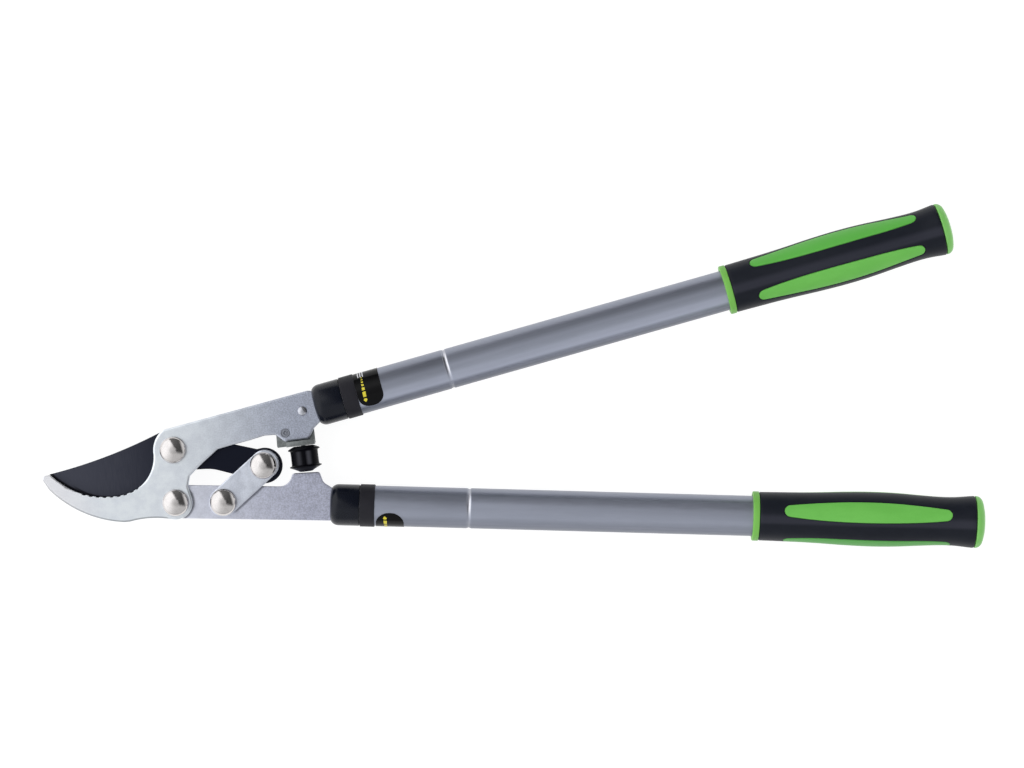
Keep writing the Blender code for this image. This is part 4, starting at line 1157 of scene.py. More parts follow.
# %% Collars
def slotted(mesh, low, high):
    """The mesh with a box between two corners, in millimetres, cut out of it."""
    low, high = np.array(low) * MM, np.array(high) * MM
    corner = np.array([[x, y, z] for x in (0, 1) for y in (0, 1) for z in (0, 1)])
    cutter_mesh = bpy.data.meshes.new("slot_cutter")
    sides = [(0, 1, 3, 2), (4, 6, 7, 5), (0, 4, 5, 1), (2, 3, 7, 6), (0, 2, 6, 4), (1, 5, 7, 3)]
    cutter_mesh.from_pydata((low + corner * (high - low)).tolist(), [], sides)
    cutter = bpy.data.objects.new("slot_cutter", cutter_mesh)
    carved = bpy.data.objects.new("carved", mesh)
    for obj in (cutter, carved):
        bpy.context.scene.collection.objects.link(obj)
    cut = carved.modifiers.new("slot", "BOOLEAN")
    cut.operation, cut.solver, cut.object = "DIFFERENCE", "EXACT", cutter
    bpy.context.view_layer.update()
    evaluated = carved.evaluated_get(bpy.context.evaluated_depsgraph_get())
    result = bpy.data.meshes.new_from_object(evaluated)
    for obj in (cutter, carved):
        bpy.data.objects.remove(obj)
    return result


collar_black = grained_finish(
    "collar_black", own_place, (0.0025, 0.0040, 0.0095), (0.0045, 0.0060, 0.0130),
    cloud_mm=(8, 8, 8), grain_mm=(0.35, 0.35, 0.35), bump_mm=0.008, rough=0.24,
    Specular_IOR_Level=0.30,
)
ring_black = grained_finish(
    "ring_black", own_place, (0.0165, 0.0160, 0.0210), (0.0200, 0.0195, 0.0250),
    cloud_mm=(8, 8, 8), grain_mm=(0.3, 0.3, 0.3), bump_mm=0.010, rough=0.50,
    Specular_IOR_Level=0.18,
)
nose_turns = np.radians(np.linspace(0, 90, 12))
collar_rows = [(0.0, 0.0), (0.0, 9.6), (0.1, 10.0)]
collar_rows += [
    (0.25 + 5.8 * (1 - math.cos(t)), 10.2 + 4.7 * math.sin(t)) for t in nose_turns[1:]
]
collar_rows += [
    (FIXED_COLLAR_LENGTH - 0.5, FIXED_COLLAR_RADIUS),
    (FIXED_COLLAR_LENGTH - 0.15, FIXED_COLLAR_RADIUS - 0.15),
    (FIXED_COLLAR_LENGTH, FIXED_COLLAR_RADIUS - 0.5),
    (FIXED_COLLAR_LENGTH, INNER_TUBE_RADIUS + GAP),
    (INNER_TUBE_START - GAP, INNER_TUBE_RADIUS + GAP),
    (INNER_TUBE_START - GAP, 0.0),
]
RING_BORE, RING_SEAT, RING_SPIGOT, RING_END = 12.3, 14.7, 13.0, 40.0
ring_front = FIXED_COLLAR_LENGTH + GAP
ring_rows = [
    (ring_front, RING_BORE),
    (ring_front, 14.5),
    (ring_front + 0.15, 14.9),
    (ring_front + 0.5, TUBE_COLLAR_RADIUS),
    (TUBE_COLLAR_END - 0.6, TUBE_COLLAR_RADIUS),
    (TUBE_COLLAR_END - 0.2, TUBE_COLLAR_RADIUS - 0.12),
    (TUBE_COLLAR_END, TUBE_COLLAR_RADIUS - 0.4),
    (TUBE_COLLAR_END, RING_SEAT),
    (OUTER_TUBE_START - GAP, RING_SEAT),
    (OUTER_TUBE_START - GAP, RING_SPIGOT),
    (RING_END, RING_SPIGOT),
    (RING_END, RING_BORE),
]
print("rows of the collars' profiles:", len(collar_rows), "and", len(ring_rows))

# %% [markdown]
# The outer tubes are drawn, with a fine satin grain along them. The room's light alone would shade
# them too evenly, and stripes of geometry would be far too coarse. So their light and dark bands
# are painted shading and reflection: the colour is multiplied by shares of brightness at even
# steps across the tube, measured on each of the two, and a colour ramp turns them into soft bands.

# %% Satin of the drawn tubes, with painted bands of light
def painted_light_across(material, reach_mm, shares):
    """Multiplies a finish's colour by shares at even steps across the piece's own Y, as painted light
    and shade. A colour ramp ends at one, so it holds half of each share, and the product is doubled."""
    tree = material.node_tree
    low_high = {0: coordinate(tree, own_place(tree), "Y"), 1: -reach_mm * MM, 2: reach_mm * MM}
    ramp = add_node(tree, "ValToRGB", {0: add_node(tree, "MapRange", low_high).outputs[0]})
    steps = ramp.color_ramp.elements
    while len(steps) < len(shares):
        steps.new(0.5)
    for k, share in enumerate(shares):
        steps[k].position = k / (len(shares) - 1)
        steps[k].color = (share / 2, share / 2, share / 2, 1)
    base = tree.nodes["Principled BSDF"].inputs["Base Color"]
    halved = vector_math(tree, "MULTIPLY", base.links[0].from_socket, ramp.outputs[0])
    tree.links.new(vector_math(tree, "SCALE", halved, 2.0), base)


# Shares of painted light and shade across each tube, from its -Y side to its +Y side.
PAINTED_TUBE_LIGHT = {
    "upper": (
        0.58, 0.57, 1.16, 1.70, 1.52, 1.44, 1.19, 1.04, 0.91, 0.68, 0.57, 0.62, 0.91, 0.96, 0.97,
    ),
    "lower": (0.68, 0.70, 1.07, 1.22, 1.14, 1.13, 1.15, 1.17, 1.28, 0.95, 0.92),
}
DRAWN_CLOUD, DRAWN_GRAIN = (60, 6, 6), (7, 0.4, 0.4)
tube_satin = {}
for side, shares in PAINTED_TUBE_LIGHT.items():
    tube_satin[side] = grained_finish(
        side + "_tube_satin", own_place, (0.285, 0.305, 0.37), (0.320, 0.340, 0.41),
        cloud_mm=DRAWN_CLOUD, grain_mm=DRAWN_GRAIN, bump_mm=0.004, rough=0.36, Metallic=0.85,
    )
    painted_light_across(tube_satin[side], OUTER_TUBE_RADIUS, shares)
print("bands across each tube:", {side: len(shares) for side, shares in PAINTED_TUBE_LIGHT.items()})

# %% [markdown]
# One groove is rolled into each tube, which stops it on the plug inside. It could be a bump in
# the finish, but its outline shows, so it is a smooth dip in the turned profile, one cosine wave
# long. Its shine is a painted highlight: a wide bright line at its bottom and a thin one on its
# front flank, strongest on the side that faces the light.

# %% Rolled groove and its painted highlight
groove_steps = np.linspace(-1, 1, 17)
groove_along = GROOVE_PLACE + GROOVE_HALF_WIDTH * groove_steps
groove_depth = GROOVE_DEPTH * 0.5 * (1 + np.cos(np.pi * groove_steps))
tube_outside = np.stack([groove_along, OUTER_TUBE_RADIUS - groove_depth], 1)
tube_rows = [
    (OUTER_TUBE_START, OUTER_TUBE_RADIUS - OUTER_TUBE_WALL), (OUTER_TUBE_START, OUTER_TUBE_RADIUS),
    *[tuple(row) for row in tube_outside],
    (OUTER_TUBE_END - 0.2, OUTER_TUBE_RADIUS), (OUTER_TUBE_END, OUTER_TUBE_RADIUS - 0.2),
    (OUTER_TUBE_END, OUTER_TUBE_RADIUS - OUTER_TUBE_WALL),
    *[tuple(row) for row in (tube_outside - (0, OUTER_TUBE_WALL))[::-1]],
]
# A line is a rise and a fall, in millimetres from the groove's middle.
BOTTOM_LINE, FLANK_LINE = ((-0.9, -0.3), (1.5, 0.8)), ((-2.1, -1.8), (-1.2, -1.5))
for finish in tube_satin.values():
    tree = finish.node_tree
    along, across = (coordinate(tree, own_place(tree), axis) for axis in "XY")
    bottom, flank = [
        line_mask(tree, along, *[[GROOVE_PLACE + v for v in ramp] for ramp in line])
        for line in (BOTTOM_LINE, FLANK_LINE)
    ]
    lit_side = ranged(tree, across, -7 * MM, 1 * MM, 0.12, 0.85)
    before_edge = ranged(tree, across, 13 * MM, 9 * MM, 0.3, 1.0)
    painted_glint = times(tree, either(tree, bottom, times(tree, flank, 0.35)), lit_side, before_edge)
    # Painted highlight in the groove.
    overlaid(finish, painted_glint, (0.88, 0.88, 0.93))
print("rows of a tube's profile:", len(tube_rows))

# %% Collars and tubes of both handles
HANDLE_SIDES = 96
SLOT_START, SLOT_END, SLOT_HALF_WIDTH = -2.0, 11.0, 12.7
for side, body in BODIES.items():
    moving = side + "_tube"
    slot_low = (SLOT_START, -SLOT_HALF_WIDTH, LAYERS[side][0] - GAP)
    slot_high = (SLOT_END, SLOT_HALF_WIDTH, LAYERS[side][1] + GAP)
    collar = slotted(turned("collar", collar_rows, HANDLE_SIDES), slot_low, slot_high)
    ring = turned("ring", ring_rows, HANDLE_SIDES, closed=True)
    tube = turned("tube", tube_rows, HANDLE_SIDES, closed=True)
    for kind, mesh, finish, carrier, slot in (
        ("_front_collar", collar, collar_black, body, "black_plastic"),
        ("_tube_collar", ring, ring_black, moving, "black_plastic"),
        ("_outer_tube", tube, tube_satin[side], moving, "satin_aluminium"),
    ):
        node = side + kind
        add_piece("dressed_" + node, mesh, handle_frames[side], finish, carrier, [node])

# %% [markdown]
# A black film with round ends is wrapped round each outer tube, behind the collar. It is printed
# with direction arrows for unlocking: stepped bars that grow towards a head, with three plain
# bars between them. A picture could print them, but here each is a thin patch bent round the
# tube, with clean edges at any distance. The film's width at its ends follows a circle.

# %% Film and prints
LABEL_START = {"upper": 32.05, "lower": 33.2}
LABEL_HALF_WIDTH = {"upper": 9.25, "lower": 10.0}
LABEL_FLAT_END = 0.6
LABEL_SWEEP = 230.0
LABEL_CLOCKING = {"upper": -45.0, "lower": -248.5}
FILM_INSIDE, FILM_OUTSIDE = 14.65, 14.85
PRINT_INSIDE, PRINT_OUTSIDE = 14.8, 14.9
label_length = math.radians(LABEL_SWEEP) * FILM_OUTSIDE
label_black = grained_finish(
    "label_black", own_place, (0.0008, 0.0008, 0.0012), (0.0016, 0.0016, 0.0022),
    cloud_mm=(6, 6, 6), grain_mm=(0.6, 0.6, 0.6), bump_mm=0.003, rough=0.16,
    Specular_IOR_Level=0.16,
)
label_yellow, label_white = [
    grained_finish(
        name, own_place, dark, light,
        cloud_mm=(3, 3, 3), grain_mm=(0.4, 0.4, 0.4), bump_mm=0.002, rough=0.35,
    )
    for name, dark, light in (
        ("label_yellow", (0.62, 0.52, 0.02), (0.80, 0.70, 0.05)),
        ("label_white", (0.62, 0.62, 0.66), (0.78, 0.78, 0.80)),
    )
]


def wrapped_patch(distance, middle, half_width, inside, outside):
    """A bent patch: at each distance round the tube, in millimetres, a thin rectangle that
    reaches the half width to both sides of the middle. Its turn is distance over radius."""
    turns = np.asarray(distance) / FILM_OUTSIDE
    middle = np.broadcast_to(middle, turns.shape)
    half_width = np.broadcast_to(half_width, turns.shape)
    corners = [(-1, inside), (-1, outside), (1, outside), (1, inside)]
    points = [
        np.stack([middle + share * half_width, radius * np.sin(turns), radius * np.cos(turns)], -1)
        for share, radius in corners
    ]
    points = np.stack(points, 1)
    last = 4 * len(turns) - 1
    faces = grid_faces(len(turns), 4, False, True).tolist()
    return points, faces + [[0, 1, 2, 3], [last, last - 1, last - 2, last - 3]]


print(f"label: {label_length:.1f} mm round the tube")

# %% Arrows and the film's outline
ARROW_PLACE = {"upper": 6.0, "lower": 7.6}
ARROW_LEAN = 0.06
ARROW_BARS = ((0.8, 0.5), (0.9, 0.6), (1.1, 0.75), (1.4, 0.9), (2.0, 1.05), (3.8, 1.15))
ARROW_GAP = 1.1
HEAD_DISTANCE = np.array([0.0, 0.7, 1.0, 1.6, 2.2, 2.9])
HEAD_HALF_WIDTH = np.array([0.9, 1.1, 1.5, 1.1, 0.6, 0.05])


def arrow_patches(tail, direction, middle):
    """Bars of growing length and half width along the way, then a head that narrows to its tip."""
    parts, at = [], tail
    for length, half in ARROW_BARS:
        parts.append((at + direction * np.linspace(0, length, 4), half))
        at += direction * (length + ARROW_GAP)
    parts.append((at + direction * HEAD_DISTANCE, HEAD_HALF_WIDTH))
    leaning = [(distance, middle - ARROW_LEAN * abs(distance - tail), half) for distance, half in parts]
    return [wrapped_patch(*part, PRINT_INSIDE, PRINT_OUTSIDE) for part in leaning]


def film_outline(half_width):
    """Distances round the tube and the film's half width there: at each end the width grows as
    a quarter circle does, from a short flat."""
    corner = half_width - LABEL_FLAT_END
    from_end = corner * (1 - np.cos(np.radians(np.linspace(0, 90, 14))))
    from_end = np.concatenate([from_end, np.linspace(corner, label_length / 2, 20)[1:]])
    distance = np.concatenate([from_end, label_length - from_end[-2::-1]])
    near_end = np.minimum(np.minimum(distance, label_length - distance), corner)
    return distance, LABEL_FLAT_END + np.sqrt(np.maximum(corner**2 - (corner - near_end) ** 2, 0))


print("an arrow has", len(arrow_patches(0.0, 1, 0.0)), "patches")

# %% Labels on both tubes
TAIL_FROM_END = {"upper": 24.0, "lower": 21.9}
BARS_BEFORE_TAIL = 0.5
BAR_PLACES, BAR_HALF_WIDTH = (-2.3, -0.6, 1.1), 0.4
for side in BODIES:
    start = math.radians(LABEL_CLOCKING[side]) * FILM_OUTSIDE
    film_middle = LABEL_START[side] + LABEL_HALF_WIDTH[side]
    film_distance, film_width = film_outline(LABEL_HALF_WIDTH[side])
    film_distance = start + film_distance
    film = [wrapped_patch(film_distance, film_middle, film_width, FILM_INSIDE, FILM_OUTSIDE)]
    middle, tail_place = LABEL_START[side] + ARROW_PLACE[side], TAIL_FROM_END[side]
    arrows = arrow_patches(start + tail_place, -1, middle)
    arrows += arrow_patches(start + label_length - tail_place, 1, middle)
    bars_place = tail_place + BARS_BEFORE_TAIL
    bar_distance = start + np.linspace(bars_place, label_length - bars_place, 12)
    bars = [
        wrapped_patch(bar_distance, middle + along, BAR_HALF_WIDTH, PRINT_INSIDE, PRINT_OUTSIDE)
        for along in BAR_PLACES
    ]
    for name, patches, finish, nodes in (
        (f"dressed_{side}_label", film, label_black, [side + "_twist_label"]),
        (f"{side}_label_arrows", arrows, label_yellow, []),
        (f"{side}_label_bars", bars, label_white, []),
    ):
        mesh = closed_mesh(name, *joined(patches))
        add_piece(name, mesh, handle_frames[side], finish, side + "_tube", nodes)

# %% [markdown]
# A grip has a core of green moulded plastic, with a front ring and four raised panels, and a
# sleeve of soft black rubber with four windows that the panels fill. One soft highlight runs
# along the sleeve, and a core is a darker green where it turns from the light. The two grips
# are clocked differently, so each core has a finish of its own, with its own shaded side.

# %% Grip rubber and grip greens
grip_black = grained_finish(
    "grip_black", own_place, (0.0082, 0.0100, 0.0160), (0.0112, 0.0134, 0.0205),
    cloud_mm=(12, 6, 6), grain_mm=(0.4, 0.4, 0.4), bump_mm=0.012, rough=0.42,
    Specular_IOR_Level=0.15,
)
tree = grip_black.node_tree
highlight = line_mask(tree, coordinate(tree, own_place(tree), "Y"), (-6.0, -3.0), (4.0, -0.75))
overlaid(grip_black, highlight, (0.027, 0.0285, 0.0405))

GREEN_GRAIN = {"cloud_mm": (18, 8, 8), "grain_mm": (0.4, 0.4, 0.4), "bump_mm": 0.008, "rough": 0.42}
cap_green = grained_finish(
    "cap_green", own_place, (0.188, 0.530, 0.112), (0.216, 0.580, 0.130), **GREEN_GRAIN
)
# For each side: where the shade begins and ends across the grip, its share and its colour.
SHADED_GREEN = {
    "upper": (6.5, 10.5, 0.85, (0.104, 0.457, 0.064)),
    "lower": (-12, -15, 0.9, (0.090, 0.365, 0.074)),
}
RING_SHARE, RING_GREEN = 0.8, (0.205, 0.515, 0.092)
grip_green = {}
for side, (begins, ends, share, shade) in SHADED_GREEN.items():
    green = grip_green[side] = grained_finish(
        side + "_grip_green", own_place, (0.145, 0.500, 0.082), (0.170, 0.550, 0.097),
        Specular_IOR_Level=0.30, **GREEN_GRAIN,
    )
    tree = green.node_tree
    along, across = (coordinate(tree, own_place(tree), axis) for axis in "XY")
    overlaid(green, ranged(tree, across, begins * MM, ends * MM, 0.0, share), shade)
    on_ring = times(tree, line_mask(tree, along, (-2, -1), (4.9, 4.4)), RING_SHARE)
    overlaid(green, on_ring, RING_GREEN)
print("greens:", [green.name for green in grip_green.values()])

# %% [markdown]
# Along the grip, a window's half width follows a circle at each end and a long shallow arc
# between them. A Boolean could cut the windows, but it would leave ragged faces on a curved wall.
# Here the grid's own lines start at the windows' edges, so the edges are clean, and the distance
# from the edge rounds both the sleeve and the panels over.

# %% Measures of the grips
GRIP_START = {"upper": 307.4, "lower": 303.2}
GRIP_CLOCKING = {"upper": 50.5, "lower": 16.5}
RING_LENGTH = 4.5
SLEEVE_START, SLEEVE_END = 4.8, 160.0
CORE_RADIUS = 15.8
CORE_BORE = 14.8
SLEEVE_BORE = 16.1
WINDOW_START, WINDOW_END = 21.8, 143.6
WINDOW_HALF_WIDTH = 7.65
WINDOW_END_RADIUS = 4.3
WINDOW_MIDDLE = (WINDOW_START + WINDOW_END) / 2
TO_END_CENTRE = WINDOW_MIDDLE - WINDOW_START - WINDOW_END_RADIUS
JOIN_LEAN = math.radians(8)
TO_JOIN = TO_END_CENTRE + WINDOW_END_RADIUS * math.sin(JOIN_LEAN)
JOIN_DROP = WINDOW_HALF_WIDTH - WINDOW_END_RADIUS * math.cos(JOIN_LEAN)
SIDE_RADIUS = (TO_JOIN**2 + JOIN_DROP**2) / (2 * JOIN_DROP)
MEASURED = [0.0, RING_LENGTH, SLEEVE_START, WINDOW_START, WINDOW_END, SLEEVE_END, 170.0]
PLACES = {
    "upper": [-0.9, 3.5, 3.8, 21.0, 144.5, SLEEVE_END, 170.0],
    "lower": [0.3, 4.8, 5.1, 22.6, 142.7, SLEEVE_END, 170.0],
}
grip_rows = np.array([
    (4.8, 17.45), (34.8, 17.9), (49.2, 18.4), (63.6, 19.15), (78.0, 19.6), (85.2, 19.7), (96.0, 19.6),
    (106.8, 19.2), (121.2, 18.2), (135.6, 17.4), (142.8, 17.3), (150.0, 17.7), (156.0, 18.5), (160.0, 18.9),
])


def grip_radius(along):
    """The measured radii, joined by straight lines and then averaged over 10 mm."""
    near = np.asarray(along, float)[..., None] + np.linspace(-5, 5, 11)
    return np.interp(near, *grip_rows.T).mean(-1)


print("grip: from", 2 * grip_rows[:, 1].min(), "to", 2 * grip_rows[:, 1].max(), "mm across")

# %% Windows in the grips
def window_half(along, growth):
    """Half width of a window, grown by a margin: its side arc, or its round end past the join."""
    off = np.abs(np.asarray(along, float) - WINDOW_MIDDLE)
    reach = SIDE_RADIUS + growth
    side_arc = np.sqrt(np.maximum(reach**2 - off**2, 0)) - (SIDE_RADIUS - WINDOW_HALF_WIDTH)
    past = np.maximum(off - TO_END_CENTRE, 0)
    round_end = np.sqrt(np.maximum((WINDOW_END_RADIUS + growth) ** 2 - past**2, 0))
    return np.where(off > TO_JOIN, round_end, side_arc)


def window_distance(along, across, growth):
    """Distance outside a window's edge: from the side arc's or the end circle's centre, less
    its radius."""
    off = np.abs(along - WINDOW_MIDDLE)
    across = np.abs(across)
    to_side = np.hypot(off, across + SIDE_RADIUS - WINDOW_HALF_WIDTH) - SIDE_RADIUS
    to_end = np.hypot(off - TO_END_CENTRE, across) - WINDOW_END_RADIUS
    return np.where(off > TO_JOIN, to_end, to_side) - growth


def rounding(distance, roll):
    """How far a quarter round of this radius has dropped, this far from the edge."""
    left = np.clip(roll - distance, 0, roll)
    return roll - np.sqrt(roll**2 - left**2)


print("window's half width at its middle:", float(window_half(WINDOW_MIDDLE, 0.0)), "mm")

# %% Grids that follow the windows
WINDOW_STEPS = 56


def window_columns(growth, plain_steps):
    """Places along a window: close at its round ends, evenly spaced on a circle there."""
    turns = np.radians(np.linspace(0, 82, 12))
    ends = (WINDOW_END_RADIUS + growth) * np.cos(turns) + TO_END_CENTRE
    middle = np.linspace(ends[-1], -ends[-1], plain_steps)[1:-1]
    return WINDOW_MIDDLE - np.concatenate([ends, middle, -ends[::-1]])


def sector_turns(along, radius, growth, lead, steps):
    """Turns from one window's edge to the next window's: close rows by both edges, even rows
    between them. Rows are turns, and columns are places along the grip."""
    half = np.arcsin(window_half(along, growth) / radius)
    first = half[None] + np.asarray(lead)[:, None] / radius[None]
    last = np.pi / 2 - first[::-1]
    share = np.linspace(0, 1, steps + 2)[1:-1, None]
    return np.concatenate([first, first[-1] + (last[0] - first[-1]) * share, last])


def around(side, along, turns, radius):
    """Points of a grip's surface from their place along it, their turn and their radius. The two
    grips differ by a millimetre here and there, so the place is stretched between a few marks."""
    along = np.broadcast_to(np.interp(along, MEASURED, PLACES[side]), turns.shape)
    radius = np.broadcast_to(radius, turns.shape)
    return np.stack([along, radius * np.sin(turns), radius * np.cos(turns)], -1)


print("places along a window:", len(window_columns(0.0, WINDOW_STEPS)))

# %% [markdown]
# The sleeve is four equal sectors, each from one window's edge to the next one's, closed in front
# of the windows and behind them. A second sheet at the bore gives it its wall. Solidify would do
# this evenly, but the real sleeve is thin over the core and thick at its swell.

# %% Sleeve
SLEEVE_ROLL, RIM_ROLL = 0.45, 0.8
WINDOW_GAP = 0.3
rim = np.array([0.0, 0.06, 0.18, 0.4, RIM_ROLL])
near_window = np.array([0.06, 0.15, 0.3, 0.45])
outside_window = [
    SLEEVE_START + rim,
    np.linspace(SLEEVE_START + RIM_ROLL, WINDOW_START - 1.0, 9)[1:],
    WINDOW_START - WINDOW_GAP - near_window[::-1],
]
behind_window = [
    WINDOW_END + WINDOW_GAP + near_window,
    np.linspace(WINDOW_END + 1.0, SLEEVE_END - RIM_ROLL, 10)[:-1],
    SLEEVE_END - rim[::-1],
]
window_places = window_columns(WINDOW_GAP, WINDOW_STEPS)
sleeve_along = np.concatenate([*outside_window, window_places, *behind_window])
sleeve_radius = grip_radius(sleeve_along)
sleeve_turns = sector_turns(
    sleeve_along, sleeve_radius, WINDOW_GAP, [0.0, 0.06, 0.15, 0.3, 0.5, 0.9], 12
)
from_window = np.minimum(sleeve_turns, np.pi / 2 - sleeve_turns)
across_window = sleeve_radius * np.sin(from_window)
edge_distance = window_distance(sleeve_along[None], across_window, WINDOW_GAP)
from_rim = np.minimum(sleeve_along - SLEEVE_START, SLEEVE_END - sleeve_along)
sleeve_drop = rounding(edge_distance, SLEEVE_ROLL) + rounding(from_rim, RIM_ROLL)
sleeve_surface = sleeve_radius - sleeve_drop


def sleeve_mesh(side, clocking):
    """The outer sheet of four sectors, merged, then given its wall by a second sheet at the bore."""
    sheets = []
    for k in range(4):
        turns = sleeve_turns + clocking + k * np.pi / 2
        sheets.append((around(side, sleeve_along, turns, sleeve_surface), grid_faces(*turns.shape)))
    mesh = closed_mesh("sleeve", *joined(sheets))
    outer = len(mesh.vertices)
    bm = bmesh.new()
    bm.from_mesh(mesh)
    bmesh.ops.extrude_face_region(bm, geom=list(bm.faces), use_keep_orig=True)
    bm.to_mesh(mesh)
    bm.free()
    places = np.empty(3 * len(mesh.vertices))
    mesh.vertices.foreach_get("co", places)
    places = places.reshape(-1, 3)
    wall = places[outer:, 1:]
    wall *= SLEEVE_BORE * MM / np.linalg.norm(wall, axis=1, keepdims=True)
    mesh.vertices.foreach_set("co", places.ravel())
    bm = bmesh.new()
    bm.from_mesh(mesh)
    bmesh.ops.recalc_face_normals(bm, faces=bm.faces)
    bm.to_mesh(mesh)
    bm.free()
    return mesh


print("one sector of the sleeve:", sleeve_turns.shape, "points")

# %% [markdown]
# The core lies under the sleeve and closes round its bore. Its panels are surfaces of their own
# at the grip's full radius, and narrow walls lead from the low surface up to them, so the three
# kinds share their edge points and merge into one closed mesh.

# %% Core with its panels
PANEL_ROLL = 0.3
CORE_END = 160.2
core_window = window_columns(0.0, WINDOW_STEPS)
core_loop = [
    (0.0, CORE_BORE), (0.0, 17.0), (0.12, 17.45), (0.4, 17.72), (0.8, 17.8), (4.0, 17.8), (4.3, 17.7),
    (RING_LENGTH, 17.4), (RING_LENGTH, CORE_RADIUS),
]
low_places = [
    *np.linspace(RING_LENGTH, WINDOW_START, 6)[1:-1],
    *core_window,
    *np.linspace(WINDOW_END, CORE_END, 6)[1:],
]
core_loop += [(along, CORE_RADIUS) for along in low_places]
core_loop += [(CORE_END, CORE_BORE)]
loop_along, loop_radius = np.array(core_loop).T
low_turns = sector_turns(loop_along, loop_radius, 0.0, [0.0], 15)
panel_share = np.sin(np.radians(np.linspace(-90, 90, 23)))[:, None]
panel_across = panel_share * window_half(core_window, 0.0)
panel_radius = grip_radius(core_window)
panel_turns = np.arcsin(panel_across / panel_radius)
inside_distance = -window_distance(core_window[None], panel_across, 0.0)
panel_surface = panel_radius - rounding(np.maximum(inside_distance, 0), PANEL_ROLL)
wall_half = window_half(core_window, 0.0)


def core_mesh(side, clocking):
    """Low surface between the panels, closed round the bore; panels on top; walls between."""
    surfaces = []
    for k in range(4):
        turn = clocking + k * np.pi / 2
        surfaces.append((
            around(side, loop_along, low_turns + turn, loop_radius),
            grid_faces(*low_turns.shape, False, True),
        ))
        surfaces.append((
            around(side, core_window, panel_turns + turn, panel_surface),
            grid_faces(*panel_turns.shape),
        ))
        for sign in (-1, 1):
            low = sign * np.arcsin(wall_half / CORE_RADIUS)
            high = panel_turns[0 if sign < 0 else -1]
            top = panel_surface[0 if sign < 0 else -1]
            ends = np.stack([np.full(len(low), CORE_RADIUS), top])
            wall = around(side, core_window, np.stack([low, high]) + turn, ends)
            surfaces.append((wall, grid_faces(2, len(low))))
    return closed_mesh("core", *joined(surfaces))


print("core's outline has", len(core_loop), "points")

# %% [markdown]
# A green cap closes the grip's end, a turned profile with a softly rounded rim and a flat middle,
# on which the tool stands when it is put away.

# %% Sleeves, cores and caps of both grips
cap_rows = [
    (152.0, 0.0), (152.0, 13.9), (152.5, 14.4), (160.5, 14.4), (160.5, 18.3), (160.62, 18.58), (160.9, 18.7),
    (162.0, 18.62), (163.0, 18.3), (164.0, 17.7), (164.8, 16.9), (165.4, 16.0), (165.9, 14.7),
    (166.3, 13.2), (166.6, 12.0), (166.85, 10.9), (167.0, 10.0), (167.0, 0.0),
]
for side in BODIES:
    grip_frame = handle_frames[side] @ Matrix.Translation((GRIP_START[side] * MM, 0, 0))
    clocking = math.radians(GRIP_CLOCKING[side])
    for kind, node, mesh, finish, slot, sharp in (
        ("sleeve", "grip_sleeve", sleeve_mesh(side, clocking), grip_black, "grip_rubber", 40),
        ("core", "grip_core", core_mesh(side, clocking), grip_green[side], "green_plastic", 40),
        ("end_cap", "end_cap", turned("cap", cap_rows, HANDLE_SIDES), cap_green, "green_plastic", 35),
    ):
        add_piece(
            f"dressed_{side}_{kind}", mesh, grip_frame, finish, side + "_tube",
            [f"{side}_{node}"], sharp,
        )

# %% [markdown]
# The pieces inside the handles keep their CAD solids and only get a finish: nylon for the lock,
# steel for pins and screws, and satin aluminium for the inner tubes, which show when the handles
# are pulled out. A CAD mesh has no own place, so a Mapping node turns the shared frame's places
# into the handle's, and the satin's grain runs along the tube.

# %% Finishes of the CAD pieces that stay
def place_in_handle(side):
    """A reader of places in a handle's own frame, for CAD meshes, which have no own place."""
    handle = handle_frames[side]

    def read(tree):
        """The place less the handle's own, turned back by the handle's turn."""
        turned_back = {0: object_place(tree), 1: handle.to_translation(), 2: handle.to_euler()}
        return add_node(tree, "Mapping", turned_back, vector_type="TEXTURE").outputs[0]

    return read


nylon = grained_finish(
    "nylon_natural", object_place, (0.50, 0.48, 0.43), (0.60, 0.58, 0.52),
    cloud_mm=(9, 9, 9), grain_mm=(0.5, 0.5, 0.5), bump_mm=0.010, rough=0.45,
    Subsurface_Weight=0.1,
)
inner_tube_satin = {
    side: grained_finish(
        side + "_inner_tube_satin", place_in_handle(side), (0.37, 0.385, 0.42), (0.41, 0.425, 0.46),
        cloud_mm=DRAWN_CLOUD, grain_mm=DRAWN_GRAIN, bump_mm=0.0015, rough=0.34, Metallic=0.9,
    )
    for side in BODIES
}
hidden_finishes = {
    "bumper_stud": zinc["shaded"],
    "tang_insert": nylon,
    "tang_pin": steel,
    "upper_inner_tube": inner_tube_satin["upper"],
    "lower_inner_tube": inner_tube_satin["lower"],
    "lock_plug": nylon,
    "lock_cam": nylon,
    "cam_screw": steel,
}
for node_name, node in frame["nodes"].items():
    for ending, finish in hidden_finishes.items():
        if node_name.endswith(ending):
            node.data.materials.clear()
            node.data.materials.append(finish)
            print("finished", node_name)
print("finishes in all:", len(bpy.data.materials))

# %% [markdown]
# The tool lies on plain white ground. Lit brightly enough to look white, the floor would throw too
# much light back up on the tool. So the floor looks white only to the camera and in reflections,
# by a Light Path mask, and for all other light it is a plain pale surface. A faint diffuse share
# keeps the tool's soft shadow on it.

